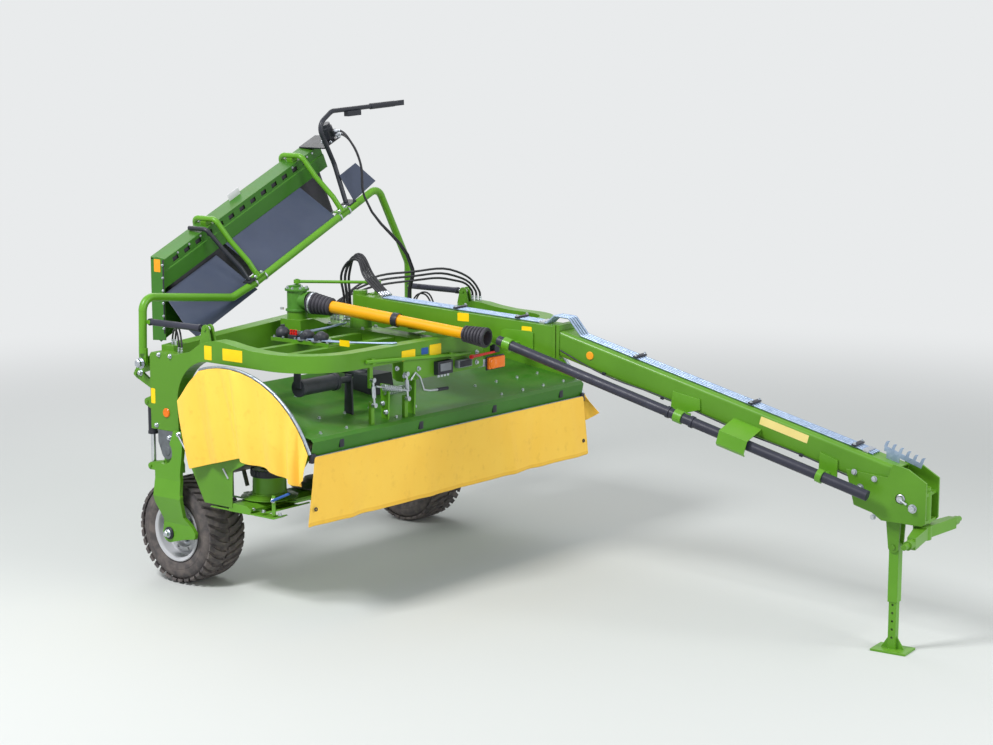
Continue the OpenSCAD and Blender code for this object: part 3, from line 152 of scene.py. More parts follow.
def turned(direction: Vector, up: Vector = UP) -> Matrix:
    """Gives the turn whose Z axis points along a direction, with its Y axis as near as can be to up.

    Args:
        direction: where Z points.
        up: where Y leans.

    Returns:
        A 4 by 4 turning matrix.
    """
    z = direction.normalized()
    x = up.cross(z)
    if x.length < 1e-5:
        x = FORE.copy()
    x.normalize()
    return Matrix((x, z.cross(x), z)).transposed().to_4x4()


# The machine's own frames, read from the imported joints. Each takes millimetres.
FLAT = Vector((1, 1, 0))
AXLE = Matrix.Translation((joint_place("wheel_right_roll").x, 0, 0))
ALONG_BEAM = (joint_place("hitch_turn") - joint_place("drawbar_swing")) * FLAT
DRAWBAR = Matrix.Translation(joint_place("drawbar_swing") * FLAT) @ Matrix.Rotation(
    math.atan2(ALONG_BEAM.y, ALONG_BEAM.x), 4, "Z")
FRONT_BEAM = DRAWBAR @ shift(1816, 0, 1832) @ tilt(15, "Y")
TROUGH = Matrix.Translation(joint_place("conveyor_swing") * FORE + mm(0, -324, 2096)) @ tilt(25, "X")
TURRET = Matrix.Translation(joint_place("swivel_drive_turn") * FLAT + mm(0, 0, 2000))
SHAFT = TURRET @ tilt(6.47, "Z") @ tilt(5.33, "Y") @ Matrix.Rotation(math.pi / 2, 4, "Y")


# ---------- finishes ----------

class Surface:
    """A material while its finish shades it, and the patterns that the finishes share."""

    def __init__(self, finish: "Finish") -> None:
        """Starts the finish's material with its shader.

        Args:
            finish: gives the name, the two colours and the roughness.
        """
        self.finish = finish
        self.material = bpy.data.materials.new(finish.name)
        self.tree = empty_tree(self.material)
        self.shader = add_node(self.tree, "BsdfPrincipled", {"Roughness": finish.rough})
        self.coords = add_node(self.tree, "TexCoord").outputs["Object"]

    def give(self, inputs: dict) -> None:
        """Sets or links the shader's own inputs."""
        connect(self.tree, self.shader, inputs)

    def pattern(self, size_mm: float) -> dict:
        """Gives the inputs of a pattern on the surface whose spots are size_mm wide."""
        return {"Vector": self.coords, "Scale": 1000.0 / size_mm}

    def ranged(self, value: Socket, low: float, high: float, to_low: float = 0, to_high: float = 1) -> dict:
        """Gives the inputs that map low..high of a value to to_low..to_high."""
        return {"Value": value, "From Min": low, "From Max": high, "To Min": to_low, "To Max": to_high}

    def patches(self, size_mm: float, detail: float, low: float, high: float, to_low: float = 0,
                to_high: float = 1) -> Socket:
        """Adds cloudy patches, clamped to a range.

        Args:
            size_mm: how wide a patch is.
            detail: how ragged the patches are.
            low, high: the heights of the cloud where the patches begin and are full.
            to_low, to_high: the values given there.

        Returns:
            The patches' value.
        """
        cloud = add_node(self.tree, "TexNoise", {**self.pattern(size_mm), "Detail": detail}).outputs["Fac"]
        return add_node(self.tree, "MapRange", self.ranged(cloud, low, high, to_low, to_high)).outputs["Result"]

    def two_tone(self, size_mm: float, detail: float, low: float, high: float) -> Socket:
        """Mixes the finish's two colours in cloudy patches."""
        amount = self.patches(size_mm, detail, low, high)
        return add_node(self.tree, "Mix", {"Factor": amount, 6: linear(self.finish.colour),
                                           7: linear(self.finish.second)}, data_type="RGBA").outputs[2]

    def emboss(self, height: Socket, depth_mm: float, strength: float, round_mm: float = 0) -> None:
        """Raises the surface by a pattern, over edges eased by round_mm.

        Args:
            height: the pattern's output socket.
            depth_mm: how deep the pattern is, in millimetres.
            strength: how much of it shows, from 0 to 1.
            round_mm: the radius of the eased edges, or 0 for none.
        """
        bump = add_node(self.tree, "Bump", {"Height": height, "Distance": depth_mm / 1000, "Strength": strength})
        if round_mm:
            eased = add_node(self.tree, "Bevel", {"Radius": round_mm / 1000}, samples=4)
            connect(self.tree, bump, {"Normal": eased.outputs["Normal"]})
        self.give({"Normal": bump.outputs["Normal"]})

    def grain(self, size_mm: float, detail: float, depth_mm: float, strength: float, round_mm: float = 0) -> None:
        """Gives the surface a fine cloudy relief."""
        cloud = add_node(self.tree, "TexNoise", {**self.pattern(size_mm), "Detail": detail}).outputs["Fac"]
        self.emboss(cloud, depth_mm, strength, round_mm)

    def edges(self, reach_mm: float) -> Socket:
        """Gives 1 on the surface's outer and inner edges and 0 away from them, within a reach.

        Args:
            reach_mm: how far from an edge it reaches, in millimetres.

        Returns:
            The socket that carries it.
        """
        eased = add_node(self.tree, "Bevel", {"Radius": reach_mm / 1000}, samples=4).outputs["Normal"]
        true = add_node(self.tree, "NewGeometry").outputs["True Normal"]
        same = add_node(self.tree, "VectorMath", {0: eased, 1: true}, operation="DOT_PRODUCT").outputs["Value"]
        return add_node(self.tree, "MapRange", self.ranged(same, 0.995, 0.86)).outputs["Result"]


@dataclass(frozen=True)
class Finish:
    """A finish on one of the mower's surfaces; each kind shades it in its own way."""

    name: str
    colour: str
    second: str
    rough: float

    @lru_cache(maxsize=None)
    def material(self) -> bpy.types.Material:
        """Builds the material once and gives it back each time.

        Returns:
            The material.
        """
        on = Surface(self)
        self.shade(on)
        add_node(on.tree, "OutputMaterial", {"Surface": on.shader.outputs["BSDF"]})
        return on.material

    def shade(self, on: Surface) -> None:
        """Shades the surface."""
        raise NotImplementedError


@dataclass(frozen=True)
class Enamel(Finish):
    """Two-pack enamel sprayed on welded steel: a wet gloss with faint orange peel, dust on what faces up.

    The sun-bleached patches and rubbed edges break up the large panels; the coat gives the soft second highlight.
    """

    dust: str = "#93955f"
    dusting: float = 0.12
    worn: str = "#8fb553"

    def shade(self, on: Surface) -> None:
        """Faded patches, settled dust, rubbed edges and orange peel, drawn at 9 mm so that it shows.

        Args:
            on: the surface to shade.
        """
        body = on.two_tone(420, 4, 0.4, 0.75)
        facing = add_node(on.tree, "NewGeometry").outputs["Normal"]
        upward = add_node(on.tree, "SeparateXYZ", {"Vector": facing}).outputs["Z"]
        settled = add_node(on.tree, "MapRange", on.ranged(upward, 0.55, 1, 0, self.dusting)).outputs["Result"]
        amount = add_node(on.tree, "Math", {0: settled, 1: on.patches(90, 6, 0.35, 0.7)},
                          operation="MULTIPLY").outputs[0]
        dusted = add_node(on.tree, "Mix", {"Factor": amount, 6: body, 7: linear(self.dust)},
                          data_type="RGBA").outputs[2]
        rubbed = add_node(on.tree, "Math", {0: on.edges(5), 1: on.patches(30, 5, 0.4, 0.62, 0, 0.55)},
                          operation="MULTIPLY").outputs[0]
        worn = add_node(on.tree, "Mix", {"Factor": rubbed, 6: dusted, 7: linear(self.worn)},
                        data_type="RGBA").outputs[2]
        dull = add_node(on.tree, "MapRange", on.ranged(amount, 0, 0.3, self.rough, self.rough + 0.22))
        on.give({"Base Color": worn, "Roughness": dull.outputs["Result"],
                 "Coat Weight": 0.12, "Specular IOR Level": 0.35, "Coat Roughness": 0.15})
        on.grain(9, 1, 0.3, 0.1, 4)


@dataclass(frozen=True)
class CoatedCloth(Finish):
    """PVC-coated polyester cloth: matt, a fine linen weave under the coat, earth rubbed in towards the hem."""

    thread_mm: float = 7.0

    def shade(self, on: Surface) -> None:
        """Even coat with faint scuffs, and a weave drawn at 7 mm so that it shows.

        Args:
            on: the surface to shade.
        """
        body, scuff = on.two_tone(380, 2, 0.3, 0.9), on.patches(55, 7, 0.58, 0.78, 0, 0.3)
        scuffed = add_node(on.tree, "Mix", {"Factor": scuff, 6: body, 7: linear("#d8a53c")},
                           data_type="RGBA").outputs[2]
        on.give({"Base Color": scuffed, "Specular IOR Level": 0.3, "Sheen Weight": 0.08})
        along = add_node(on.tree, "Mapping", {"Vector": on.coords, "Rotation": (0.0, 0.35, 0.25)}).outputs[0]
        bands_per_scale = 6.3
        waves = [add_node(on.tree, "TexWave", {"Vector": along, "Scale": 1000 / self.thread_mm / bands_per_scale,
                                               "Distortion": 0.4}, bands_direction=way).outputs["Fac"]
                 for way in ("Y", "Z")]
        weave = add_node(on.tree, "Math", {0: waves[0], 1: waves[1]}, operation="ADD").outputs[0]
        on.emboss(weave, 0.4, 0.1)


@dataclass(frozen=True)
class TreadRubber(Finish):
    """Vulcanised tread rubber after field work: dull black, brown earth rubbed into it."""

    def shade(self, on: Surface) -> None:
        """Earth in patches over the rubber, with a gritty bump."""
        on.give({"Base Color": on.two_tone(60, 6, 0.38, 0.66)})
        on.grain(6, 3, 0.8, 0.35)


@dataclass(frozen=True)
class MouldedPlastic(Finish):
    """Injection-moulded plastic or rubber: an even colour with a fine spark-eroded grain."""

    grain_mm: float = 5.0

    def shade(self, on: Surface) -> None:
        """Faint scuffs and the grain, drawn coarse enough to show.

        Args:
            on: the surface to shade.
        """
        on.give({"Base Color": on.two_tone(120, 5, 0.4, 0.8), "Specular IOR Level": 0.35,
                 "Roughness": on.patches(40, 4, 0.3, 0.7, self.rough - 0.05, self.rough + 0.1)})
        on.grain(self.grain_mm, 2, 0.2, 0.2)


@dataclass(frozen=True)
class BareMetal(Finish):
    """Bare or plated steel: a metal with zinc spangle or fine brushing and thumbed dull spots."""

    spangle_mm: float = 14.0
    metal: float = 1.0

    def shade(self, on: Surface) -> None:
        """Spangle between two greys and uneven polish.

        Args:
            on: the surface to shade.
        """
        cells = add_node(on.tree, "TexVoronoi", on.pattern(self.spangle_mm)).outputs["Color"]
        grey = add_node(on.tree, "SeparateColor", {"Color": cells}).outputs[0]
        spangled = add_node(on.tree, "Mix", {"Factor": grey, 6: linear(self.colour), 7: linear(self.second)},
                            data_type="RGBA").outputs[2]
        on.give({"Metallic": self.metal, "Base Color": spangled,
                 "Roughness": on.patches(50, 5, 0.3, 0.7, self.rough, self.rough + 0.14)})
        on.grain(4, 1, 0.1, 0.08)


@dataclass(frozen=True)
class SandCasting(Finish):
    """Painted or bare sand casting: rough skin with rounded lumps and patches of grime."""

    metal: float = 0.0

    def shade(self, on: Surface) -> None:
        """Sand skin at 7 mm and patches of grime, over eased edges."""
        on.give({"Metallic": self.metal, "Base Color": on.two_tone(45, 5, 0.45, 0.75)})
        on.grain(7, 4, 0.7, 0.3, 6)


LEAF_GREEN = Enamel("leaf_green_enamel", "#548a1a", "#5e9622", 0.4)
# Painted shade: the leaf green enamel darkened to how it looks in shade, for the hood, the conditioner housing and the
# conveyor trough.
SHADED_LEAF_GREEN = Enamel("shaded_leaf_green_enamel", "#316c12", "#39771a", 0.42, worn="#6d9c42")
# Painted light: the leaf green enamel lightened to how it looks in sunlight, for the suspension, wheel arms, hoops,
# cutter bar and outer rotors.
LIT_LEAF_GREEN = Enamel("lit_leaf_green_enamel", "#5a961c", "#64a126", 0.38)
SATIN_BLACK = Enamel("satin_black_enamel", "#24262e", "#2d3039", 0.42, "#6d6a58", 0.14, "#5a5d66")
RIM_SILVER = Enamel("silver_wheel_enamel", "#c3c4c9", "#b4b5ba", 0.34, "#8d8468", 0.12, "#8f8b80")
SLATE_PANEL = Enamel("slate_panel_enamel", "#3d4559", "#474f64", 0.42, "#7e806f", 0.08, "#6b7183")
CURTAIN_CLOTH = CoatedCloth("coated_curtain_cloth", "#ffd154", "#fbc84b", 0.66)
HEM_CLOTH = CoatedCloth("curtain_hem_cloth", "#f6c447", "#edb93f", 0.7)
TREAD_RUBBER = TreadRubber("tread_rubber", "#4e4a4b", "#6e6663", 0.9)
BOOT_RUBBER = MouldedPlastic("boot_rubber", "#38363e", "#43414a", 0.5)
HOSE_RUBBER = MouldedPlastic("hose_rubber", "#26262b", "#303036", 0.45)
TUBE_COAT = MouldedPlastic("tube_coating", "#2c2d3a", "#363746", 0.42)
GUARD_YELLOW = MouldedPlastic("guard_yellow_plastic", "#eda900", "#e29f00", 0.42)
BLACK_PLASTIC = MouldedPlastic("black_plastic", "#262832", "#2f313b", 0.42)
GREY_PLASTIC = MouldedPlastic("grey_plastic", "#7c8289", "#878d94", 0.45)
RED_PLASTIC = MouldedPlastic("red_plastic", "#cf1f1a", "#b91a16", 0.35)
AMBER_LENS = MouldedPlastic("amber_lens", "#ee7a10", "#e26d0a", 0.2)
LABEL_FILM = MouldedPlastic("yellow_label_film", "#ffd60a", "#facf08", 0.4)
ORANGE_FILM = MouldedPlastic("orange_label_film", "#f2a31a", "#e99a14", 0.4)
CREAM_FILM = MouldedPlastic("cream_label_film", "#f3df8e", "#ebd684", 0.4)
BLUE_FILM = MouldedPlastic("blue_label_film", "#2456a8", "#1f4c98", 0.4)
WHITE_FILM = MouldedPlastic("white_plate", "#dcdcdf", "#cfcfd3", 0.4)
BLUE_PAINT = MouldedPlastic("blue_rod_paint", "#2f5fb0", "#27539d", 0.35)
GALVANISED = BareMetal("galvanised_steel", "#97a0ab", "#adb5bf", 0.4)
PIPE_ZINC = BareMetal("zinc_pipe", "#8c9fbb", "#a2b3cc", 0.36, 22.0, 0.6)
BRIGHT_STEEL = BareMetal("ground_steel_rod", "#c9ccd0", "#d6d9dc", 0.14, 30.0)
FITTING_ZINC = BareMetal("zinc_fitting", "#b9bec6", "#ccd1d8", 0.28, 9.0)
BLADE_STEEL = BareMetal("worn_blade_steel", "#7d7e80", "#8d8a84", 0.4)
BARE_CAST = SandCasting("bare_grey_casting", "#6e7378", "#5d6165", 0.55, 0.5)
GEAR_CAST = SandCasting("green_gear_casting", "#4a8626", "#437a22", 0.42)
DARK_CAST = SandCasting("dark_gear_casting", "#2a2d35", "#212329", 0.5)

NODE_FINISH: dict[Finish, tuple[str, ...]] = {
    LEAF_GREEN: ("carrier_frame", "centre_mast", "drawbar_beam", "drawbar_head", "hitch_yoke", "swing_barrel",
                 "side_shields"),
    # Painted shade: these nodes take the darkened copy of the leaf green enamel.
    SHADED_LEAF_GREEN: ("header_hood", "conditioner_housing", "conveyor_trough"),
    # Painted light: these nodes take the lightened copy of the leaf green enamel.
    LIT_LEAF_GREEN: ("header_suspension", "wheel_arm_right", "wheel_arm_left", "steering_rod", "parking_stand",
                   "conveyor_frame", "conveyor_hoops", "tube_brackets", "cutter_bar", "rotor_1", "rotor_6"),
    BLADE_STEEL: ("conditioner_rotor", *[f"rotor_{n}" for n in range(2, 6)]),
    GALVANISED: ("curtain_rails", "conveyor_rollers"),
    DARK_CAST: ("drop_gearbox", "accumulators"),
    BARE_CAST: ("arm_bearings",),
    GEAR_CAST: ("swivel_gearbox",),
    SATIN_BLACK: ("hub_right", "hub_left", "lift_barrel_right", "lift_barrel_left", "flap_tube"),
    TUBE_COAT: ("drive_tube", "conveyor_barrel_right", "conveyor_barrel_left"),
    SLATE_PANEL: ("conveyor_cover",),
    RIM_SILVER: ("rim_right", "rim_left"),
    PIPE_ZINC: ("drawbar_pipes",),
    BOOT_RUBBER: ("shaft_boot_front", "shaft_boot_rear", "conveyor_belt"),
    GUARD_YELLOW: ("guard_outer", "guard_inner"),
    BRIGHT_STEEL: ("lift_rod_right", "lift_rod_left", "swing_rod", "conveyor_rod_right", "conveyor_rod_left"),
}


def dress_cad_nodes() -> None:
    """Gives each shown CAD node its finish."""
    for finish, names in NODE_FINISH.items():
        for name in names:
            mesh = frame["nodes"][name].data
            mesh.materials.clear()
            mesh.materials.append(finish.material())


# ---------- making pieces ----------

class Side(Enum):
    """The two sides of the machine, by the sign of their Y."""

    RIGHT = -1
    LEFT = 1

    @property
    def tag(self) -> str:
        """Gives the side's name as the CAD nodes end in it."""
        return self.name.lower()

    @property
    def out(self) -> Vector:
        """Gives the way out of the machine on this side."""
        return RIGHT if self is Side.RIGHT else LEFT

    @property
    def placing(self) -> Matrix:
        """Gives the placing that takes a shape built for the right side to this one."""
        return Matrix.Diagonal((1, -self.value, 1, 1))


def make_piece(name: str, shape: Shape, finishes: list[Finish], body: str | None,
               smooth_angle: float = 35.0) -> bpy.types.Object:
    """Turns a finished bmesh into a piece that rides on a body.

    Args:
        name: the piece's name.
        shape: the bmesh, in the shared frame and in metres; it is freed.
        finishes: the finishes in the order of the faces' material numbers.
        body: the CAD body that carries the piece, or None where it rides on no body.
        smooth_angle: faces that meet at less than this are shaded as one surface, in degrees.

    Returns:
        The new object.
    """
    mesh = bpy.data.meshes.new(name)
    shape.to_mesh(mesh)
    shape.free()
    for finish in finishes:
        mesh.materials.append(finish.material())
    mesh.shade_smooth()
    mesh.set_sharp_from_angle(angle=math.radians(smooth_angle))
    piece = bpy.data.objects.new(name, mesh)
    bpy.context.scene.collection.objects.link(piece)
    if body:
        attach(piece, body)
    return piece


def swept(name: str, points: list[Vector], r_mm: float, smooth: bool, sides: int) -> bpy.types.Mesh:
    """Gives the mesh of a round tube along points.

    Args:
        name: the mesh's name.
        points: the points of its middle line.
        r_mm: its radius, or 0 for the bare middle line.
        smooth: whether it curves through the points.
        sides: the curve's bevel resolution.

    Returns:
        A new mesh.
    """
    curve = bpy.data.curves.new(name, "CURVE")
    curve.dimensions = "3D"
    curve.bevel_depth, curve.bevel_resolution, curve.resolution_u = r_mm / 1000, sides, 6
    curve.use_fill_caps = r_mm > 0
    line = curve.splines.new("BEZIER" if smooth else "POLY")
    knots = line.bezier_points if smooth else line.points
    knots.add(len(points) - 1)
    for knot, point in zip(knots, points):
        knot.co = point if smooth else (*point, 1)
        if smooth:
            knot.handle_left_type = knot.handle_right_type = "AUTO"
    holder = bpy.data.objects.new(name, curve)
    bpy.context.scene.collection.objects.link(holder)
    bpy.context.view_layer.update()
    mesh = bpy.data.meshes.new_from_object(holder)
    bpy.data.objects.remove(holder)
    bpy.data.curves.remove(curve)
    return mesh


class Fittings:
    """Small parts on one body, placed by millimetres in one of the machine's frames and gathered into one piece."""

    def __init__(self, name: str, body: str, slot: str = "galvanised", placing: Matrix = AXLE) -> None:
        """Starts an empty piece.

        Args:
            name: the piece's name.
            body: the CAD body that carries it.
            slot: the record's material slot; it is not used.
            placing: the frame that its points and directions are given in.
        """
        self.name, self.body, self.slot, self.placing = name, body, slot, placing
        self.shape = bmesh.new()
        self.finishes: list[Finish] = []

    def at(self, point: Point) -> Vector:
        """Gives a point of the frame in metres in the shared frame."""
        return self.placing @ mm(*point)

    def facing(self, point: Point, out: Vector, up: Vector | None = None) -> Matrix:
        """Gives the placing of a fitting that sits on a surface.

        Args:
            point: the point it sits on.
            out: the way the surface faces.
            up: the way its Y leans, where that isn't straight up.

        Returns:
            A placing in the shared frame, its Z axis pointing out.
        """
        turn = self.placing.to_3x3()
        return Matrix.Translation(self.at(point)) @ turned(turn @ out, turn @ up if up else UP)

    def paint(self, verts: list[Vert], finish: Finish) -> None:
        """Gives the faces of new vertices a finish.

        Args:
            verts: the new vertices.
            finish: their finish.
        """
        if finish not in self.finishes:
            self.finishes.append(finish)
        for face in {f for v in verts for f in v.link_faces}:
            face.material_index = self.finishes.index(finish)

    def rod(self, start: Point, end: Point, r_mm: float, finish: Finish = FITTING_ZINC, segments: int = 16,
            end_r_mm: float | None = None) -> None:
        """Adds a round rod or cone between two points.

        Args:
            start: one end.
            end: the other end.
            r_mm: the radius at the start.
            finish: its finish.
            segments: how many flats go round.
            end_r_mm: the radius at the end, if it tapers.
        """
        a, b = self.at(start), self.at(end)
        made = bmesh.ops.create_cone(self.shape, cap_ends=True, segments=segments, radius1=r_mm / 1000,
                                     radius2=(r_mm if end_r_mm is None else end_r_mm) / 1000, depth=(b - a).length,
                                     matrix=Matrix.Translation((a + b) / 2) @ turned(b - a))["verts"]
        self.paint(made, finish)

    def bolt(self, seat: Point, out: Vector, across_mm: float) -> None:
        """Adds a chamfered hexagon bolt head on its washer.

        Args:
            seat: the point on the surface it sits on.
            out: the way the head points.
            across_mm: the size across the hexagon's corners.
        """
        way, r = out.normalized(), across_mm / 2
        washer = Vector(seat) + way * 2.5
        top = washer + way * r
        self.rod(Vector(seat) - way, washer, r * 1.35)
        self.rod(washer, top, r, segments=6)
        self.rod(top, top + way * r * 0.14, r, segments=6, end_r_mm=r * 0.82)

    def cuboid(self, size_mm: Point, placing: Matrix, finish: Finish, round_mm: float, segments: int,
               along: Vector | None = None) -> None:
        """Adds a block with rounded edges at a placing in the shared frame.

        Args:
            size_mm: its three sizes.
            placing: where its middle goes and how it is turned.
            finish: its finish.
            round_mm: the radius of its edges.
            segments: how many flats each rounding has.
            along: only edges along this direction are rounded, where it is given.
        """
        scaled = placing @ Matrix.Diagonal((*mm(*size_mm), 1))
        made = bmesh.ops.create_cube(self.shape, size=1.0, matrix=scaled)["verts"]
        edges = [e for e in {e for v in made for e in v.link_edges}
                 if along is None or abs((e.verts[0].co - e.verts[1].co).normalized().dot(along)) > 0.9]
        eased = bmesh.ops.bevel(self.shape, geom=edges, offset=round_mm / 1000, offset_type="OFFSET",
                                segments=segments, profile=0.5, affect="EDGES", material=-1, clamp_overlap=True)
        self.paint(list({v for f in eased["faces"] for v in f.verts} | {v for v in made if v.is_valid}), finish)

    def block(self, size_mm: Point, middle: Point, finish: Finish, round_mm: float = 2.0,
              turn: Matrix = Matrix.Identity(4)) -> None:
        """Adds a rounded block that stands square to the frame, apart from a turn."""
        self.cuboid(size_mm, self.placing @ shift(*middle) @ turn, finish, round_mm, 2)

    def label(self, size_mm: tuple[float, float], point: Point, out: Vector, finish: Finish, corner_mm: float = 6.0,
              thick_mm: float = 0.8, up: Vector | None = None) -> None:
        """Adds a blank stick-on film or thin plate with rounded corners.

        Args:
            size_mm: its width and height.
            point: the point on the surface under its middle.
            out: the way it faces.
            finish: its finish.
            corner_mm: the radius of its corners.
            thick_mm: its thickness.
            up: the way its height leans, where that isn't straight up.
        """
        glue_mm = 0.15
        placing = self.facing(point, out, up)
        self.cuboid((*size_mm, thick_mm), placing @ shift(0, 0, thick_mm / 2 + glue_mm), finish, corner_mm, 4,
                    (placing.to_3x3() @ UP).normalized())

    def settle(self, whole: list[Vert], placing: Matrix, finish: Finish) -> None:
        """Turns a spun shape's faces outwards, puts it in its place and paints it.

        Args:
            whole: the shape's vertices.
            placing: where it goes in the shared frame.
            finish: its finish.
        """
        bmesh.ops.recalc_face_normals(self.shape, faces=list({f for v in whole for f in v.link_faces}))
        bmesh.ops.transform(self.shape, matrix=placing, verts=whole)
        self.paint(whole, finish)

    def lathe(self, profile_mm: list[tuple[float, float]], placing: Matrix, finish: Finish = FITTING_ZINC,
              steps: int = 24) -> None:
        """Adds a turned part whose axis is the placing's Z.

        Args:
            profile_mm: its outline as radius and height, from end to end.
            placing: where it goes in the shared frame.
            finish: its finish.
            steps: how many flats go round.
        """
        verts = [self.shape.verts.new(mm(r, 0, z)) for r, z in profile_mm]
        edges = [self.shape.edges.new(pair) for pair in zip(verts, verts[1:])]
        made = bmesh.ops.spin(self.shape, geom=verts + edges, cent=(0, 0, 0), axis=(0, 0, 1), angle=math.tau,
                              steps=steps, use_merge=True)["geom_last"]
        whole = self.island(verts + [v for v in made if isinstance(v, Vert)])
        bmesh.ops.remove_doubles(self.shape, verts=whole, dist=0.00002)
        self.settle([v for v in whole if v.is_valid], placing, finish)

    def island(self, start: list[Vert]) -> list[Vert]:
        """Gives every vertex that hangs together with the given ones.

        Args:
            start: the first vertices.

        Returns:
            Every vertex of their connected part.
        """
        found, rest = set(start), list(start)
        while rest:
            new = {v for e in rest.pop().link_edges for v in e.verts} - found
            found |= new
            rest += new
        return list(found)

    def tube(self, points: list[Point], r_mm: float, finish: Finish, smooth: bool = True, sides: int = 2) -> None:
        """Adds a bent rod or pipe that follows points.

        Args:
            points: the points of its middle line.
            r_mm: its radius.
            finish: its finish.
            smooth: whether it curves through the points or has corners at them.
            sides: the curve's bevel resolution.
        """
        mesh = swept("bent_rod", [self.at(p) for p in points], r_mm, smooth, sides)
        old = set(self.shape.verts)
        self.shape.from_mesh(mesh)
        bpy.data.meshes.remove(mesh)
        self.paint([v for v in self.shape.verts if v not in old], finish)

    def spring(self, start: Point, end: Point, r_mm: float, wire_mm: float, turns: int) -> None:
        """Adds a coil spring between two points.

        Args:
            start: one end of its axis.
            end: the other end.
            r_mm: the radius to the wire's middle.
            wire_mm: the wire's radius.
            turns: how many turns it has.
        """
        a, b = self.at(start), self.at(end)
        steps = turns * 12
        ring = bmesh.ops.create_circle(self.shape, cap_ends=False, segments=6, radius=wire_mm / 1000,
                                       matrix=shift(r_mm, 0, 0) @ tilt(90, "X"))["verts"]
        bmesh.ops.spin(self.shape, geom=ring + list({e for v in ring for e in v.link_edges}), cent=(0, 0, 0),
                       axis=(0, 0, 1), angle=math.tau * turns, dvec=(0, 0, (b - a).length / steps), steps=steps)
        whole = self.island(ring)
        rims = [e for e in {e for v in whole for e in v.link_edges} if e.is_boundary]
        bmesh.ops.holes_fill(self.shape, edges=rims, sides=6)
        self.settle(whole, Matrix.Translation(a) @ turned(b - a), FITTING_ZINC)

    def done(self, side: Side = Side.RIGHT) -> bpy.types.Object:
        """Makes the piece, taken over to a side if it was built for the right one.

        Args:
            side: the side that the piece goes to.

        Returns:
            The piece.
        """
        if side is Side.LEFT:
            self.shape.transform(side.placing)
            bmesh.ops.reverse_faces(self.shape, faces=self.shape.faces[:])
        LOG.info("%s: %d faces on %s", self.name, len(self.shape.faces), self.body)
        return make_piece(self.name, self.shape, self.finishes, self.body)


@dataclass
class Hose:
    """A rubber hydraulic hose with a crimped ferrule and a hexagon nut at each end.

    It is stiff, so it holds the arch that its two ends bend it into. Where it leads onto a second body its far
    end rides on that body and the hose itself is left on no body.
    """

    name: str
    points: list[Vector]
    body: str
    onto: str | None = None
    hose_mm: float = 20.0

    def build(self) -> None:
        shape = bmesh.new()
        mesh = swept(self.name, self.points, self.hose_mm / 2, True, 2)
        shape.from_mesh(mesh)
        line = swept(f"{self.name}_line", self.points, 0, True, 0)
        route = [v.co.copy() for v in line.vertices]
        for used in (mesh, line):
            bpy.data.meshes.remove(used)
        piece = make_piece(self.name, shape, [HOSE_RUBBER], None if self.onto else self.body)
        ends = [self.ferrule("a", self.body, route[0], route[4]),
                self.ferrule("b", self.onto or self.body, route[-1], route[-5])]
        if self.onto:
            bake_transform(piece)

    def ferrule(self, tag: str, body: str, tip: Vector, inward: Vector) -> bpy.types.Object:
        """Adds the steel end at one tip of the hose.

        Args:
            tag: which end it is, a or b.
            body: the body that it rides on.
            tip: the hose's end, in metres.
            inward: a point further along the hose, in metres.

        Returns:
            The ferrule.
        """
        placing = Matrix.Translation(tip) @ turned(inward - tip)
        made = Fittings(f"{self.name}_end_{tag}", body, placing=placing)
        r = self.hose_mm / 2
        made.lathe([(r * 0.55, -6), (r * 1.05, -6), (r * 1.05, 8), (r * 1.25, 9), (r * 1.25, 22), (r * 1.18, 23),
                    (r * 1.18, 26), (r * 1.25, 27), (r * 1.25, 38), (r * 1.15, 40), (r * 0.98, 40)], placing, steps=12)
        made.rod((0, 0, -4), (0, 0, 9), r * 1.35, segments=6)
        return made.done()


# ---------- curtains ----------

@dataclass(frozen=True)
class Crease:
    """A fold in a hanging cloth: where it starts at the top, where it ends at the foot, and how deep it is."""

    top: float
    foot: float
    wide: float
    deep_mm: float

    def depth(self, along: float, down: float) -> float:
        """Gives how far the cloth is pushed out at a place, in millimetres."""
        middle = self.top + (self.foot - self.top) * down
        return self.deep_mm * down ** 0.6 * math.exp(-((along - middle) / (self.wide * (0.6 + 0.4 * down))) ** 2)


def creases(*rows: tuple[float, float, float, float]) -> tuple[Crease, ...]:
    """Makes creases from rows of top, foot, width and depth."""
    return tuple(Crease(*row) for row in rows)


def between(a: Pair, b: Pair, share: float) -> Pair:
    """Gives the point at a share of the way from one point to another."""
    return a[0] + (b[0] - a[0]) * share, a[1] + (b[1] - a[1]) * share


def along_line(points: Sequence[Pair], share: float) -> Pair:
    """Gives the point at a share of the way along a line of points.

    Args:
        points: the line's points.
        share: how far along it, from 0 to 1.

    Returns:
        The point.
    """
    lengths = [math.dist(a, b) for a, b in zip(points, points[1:])]
    left = share * sum(lengths)
    for a, b, length in zip(points, points[1:], lengths):
        if left <= length:
            return between(a, b, left / length)
        left -= length
    return points[-1]


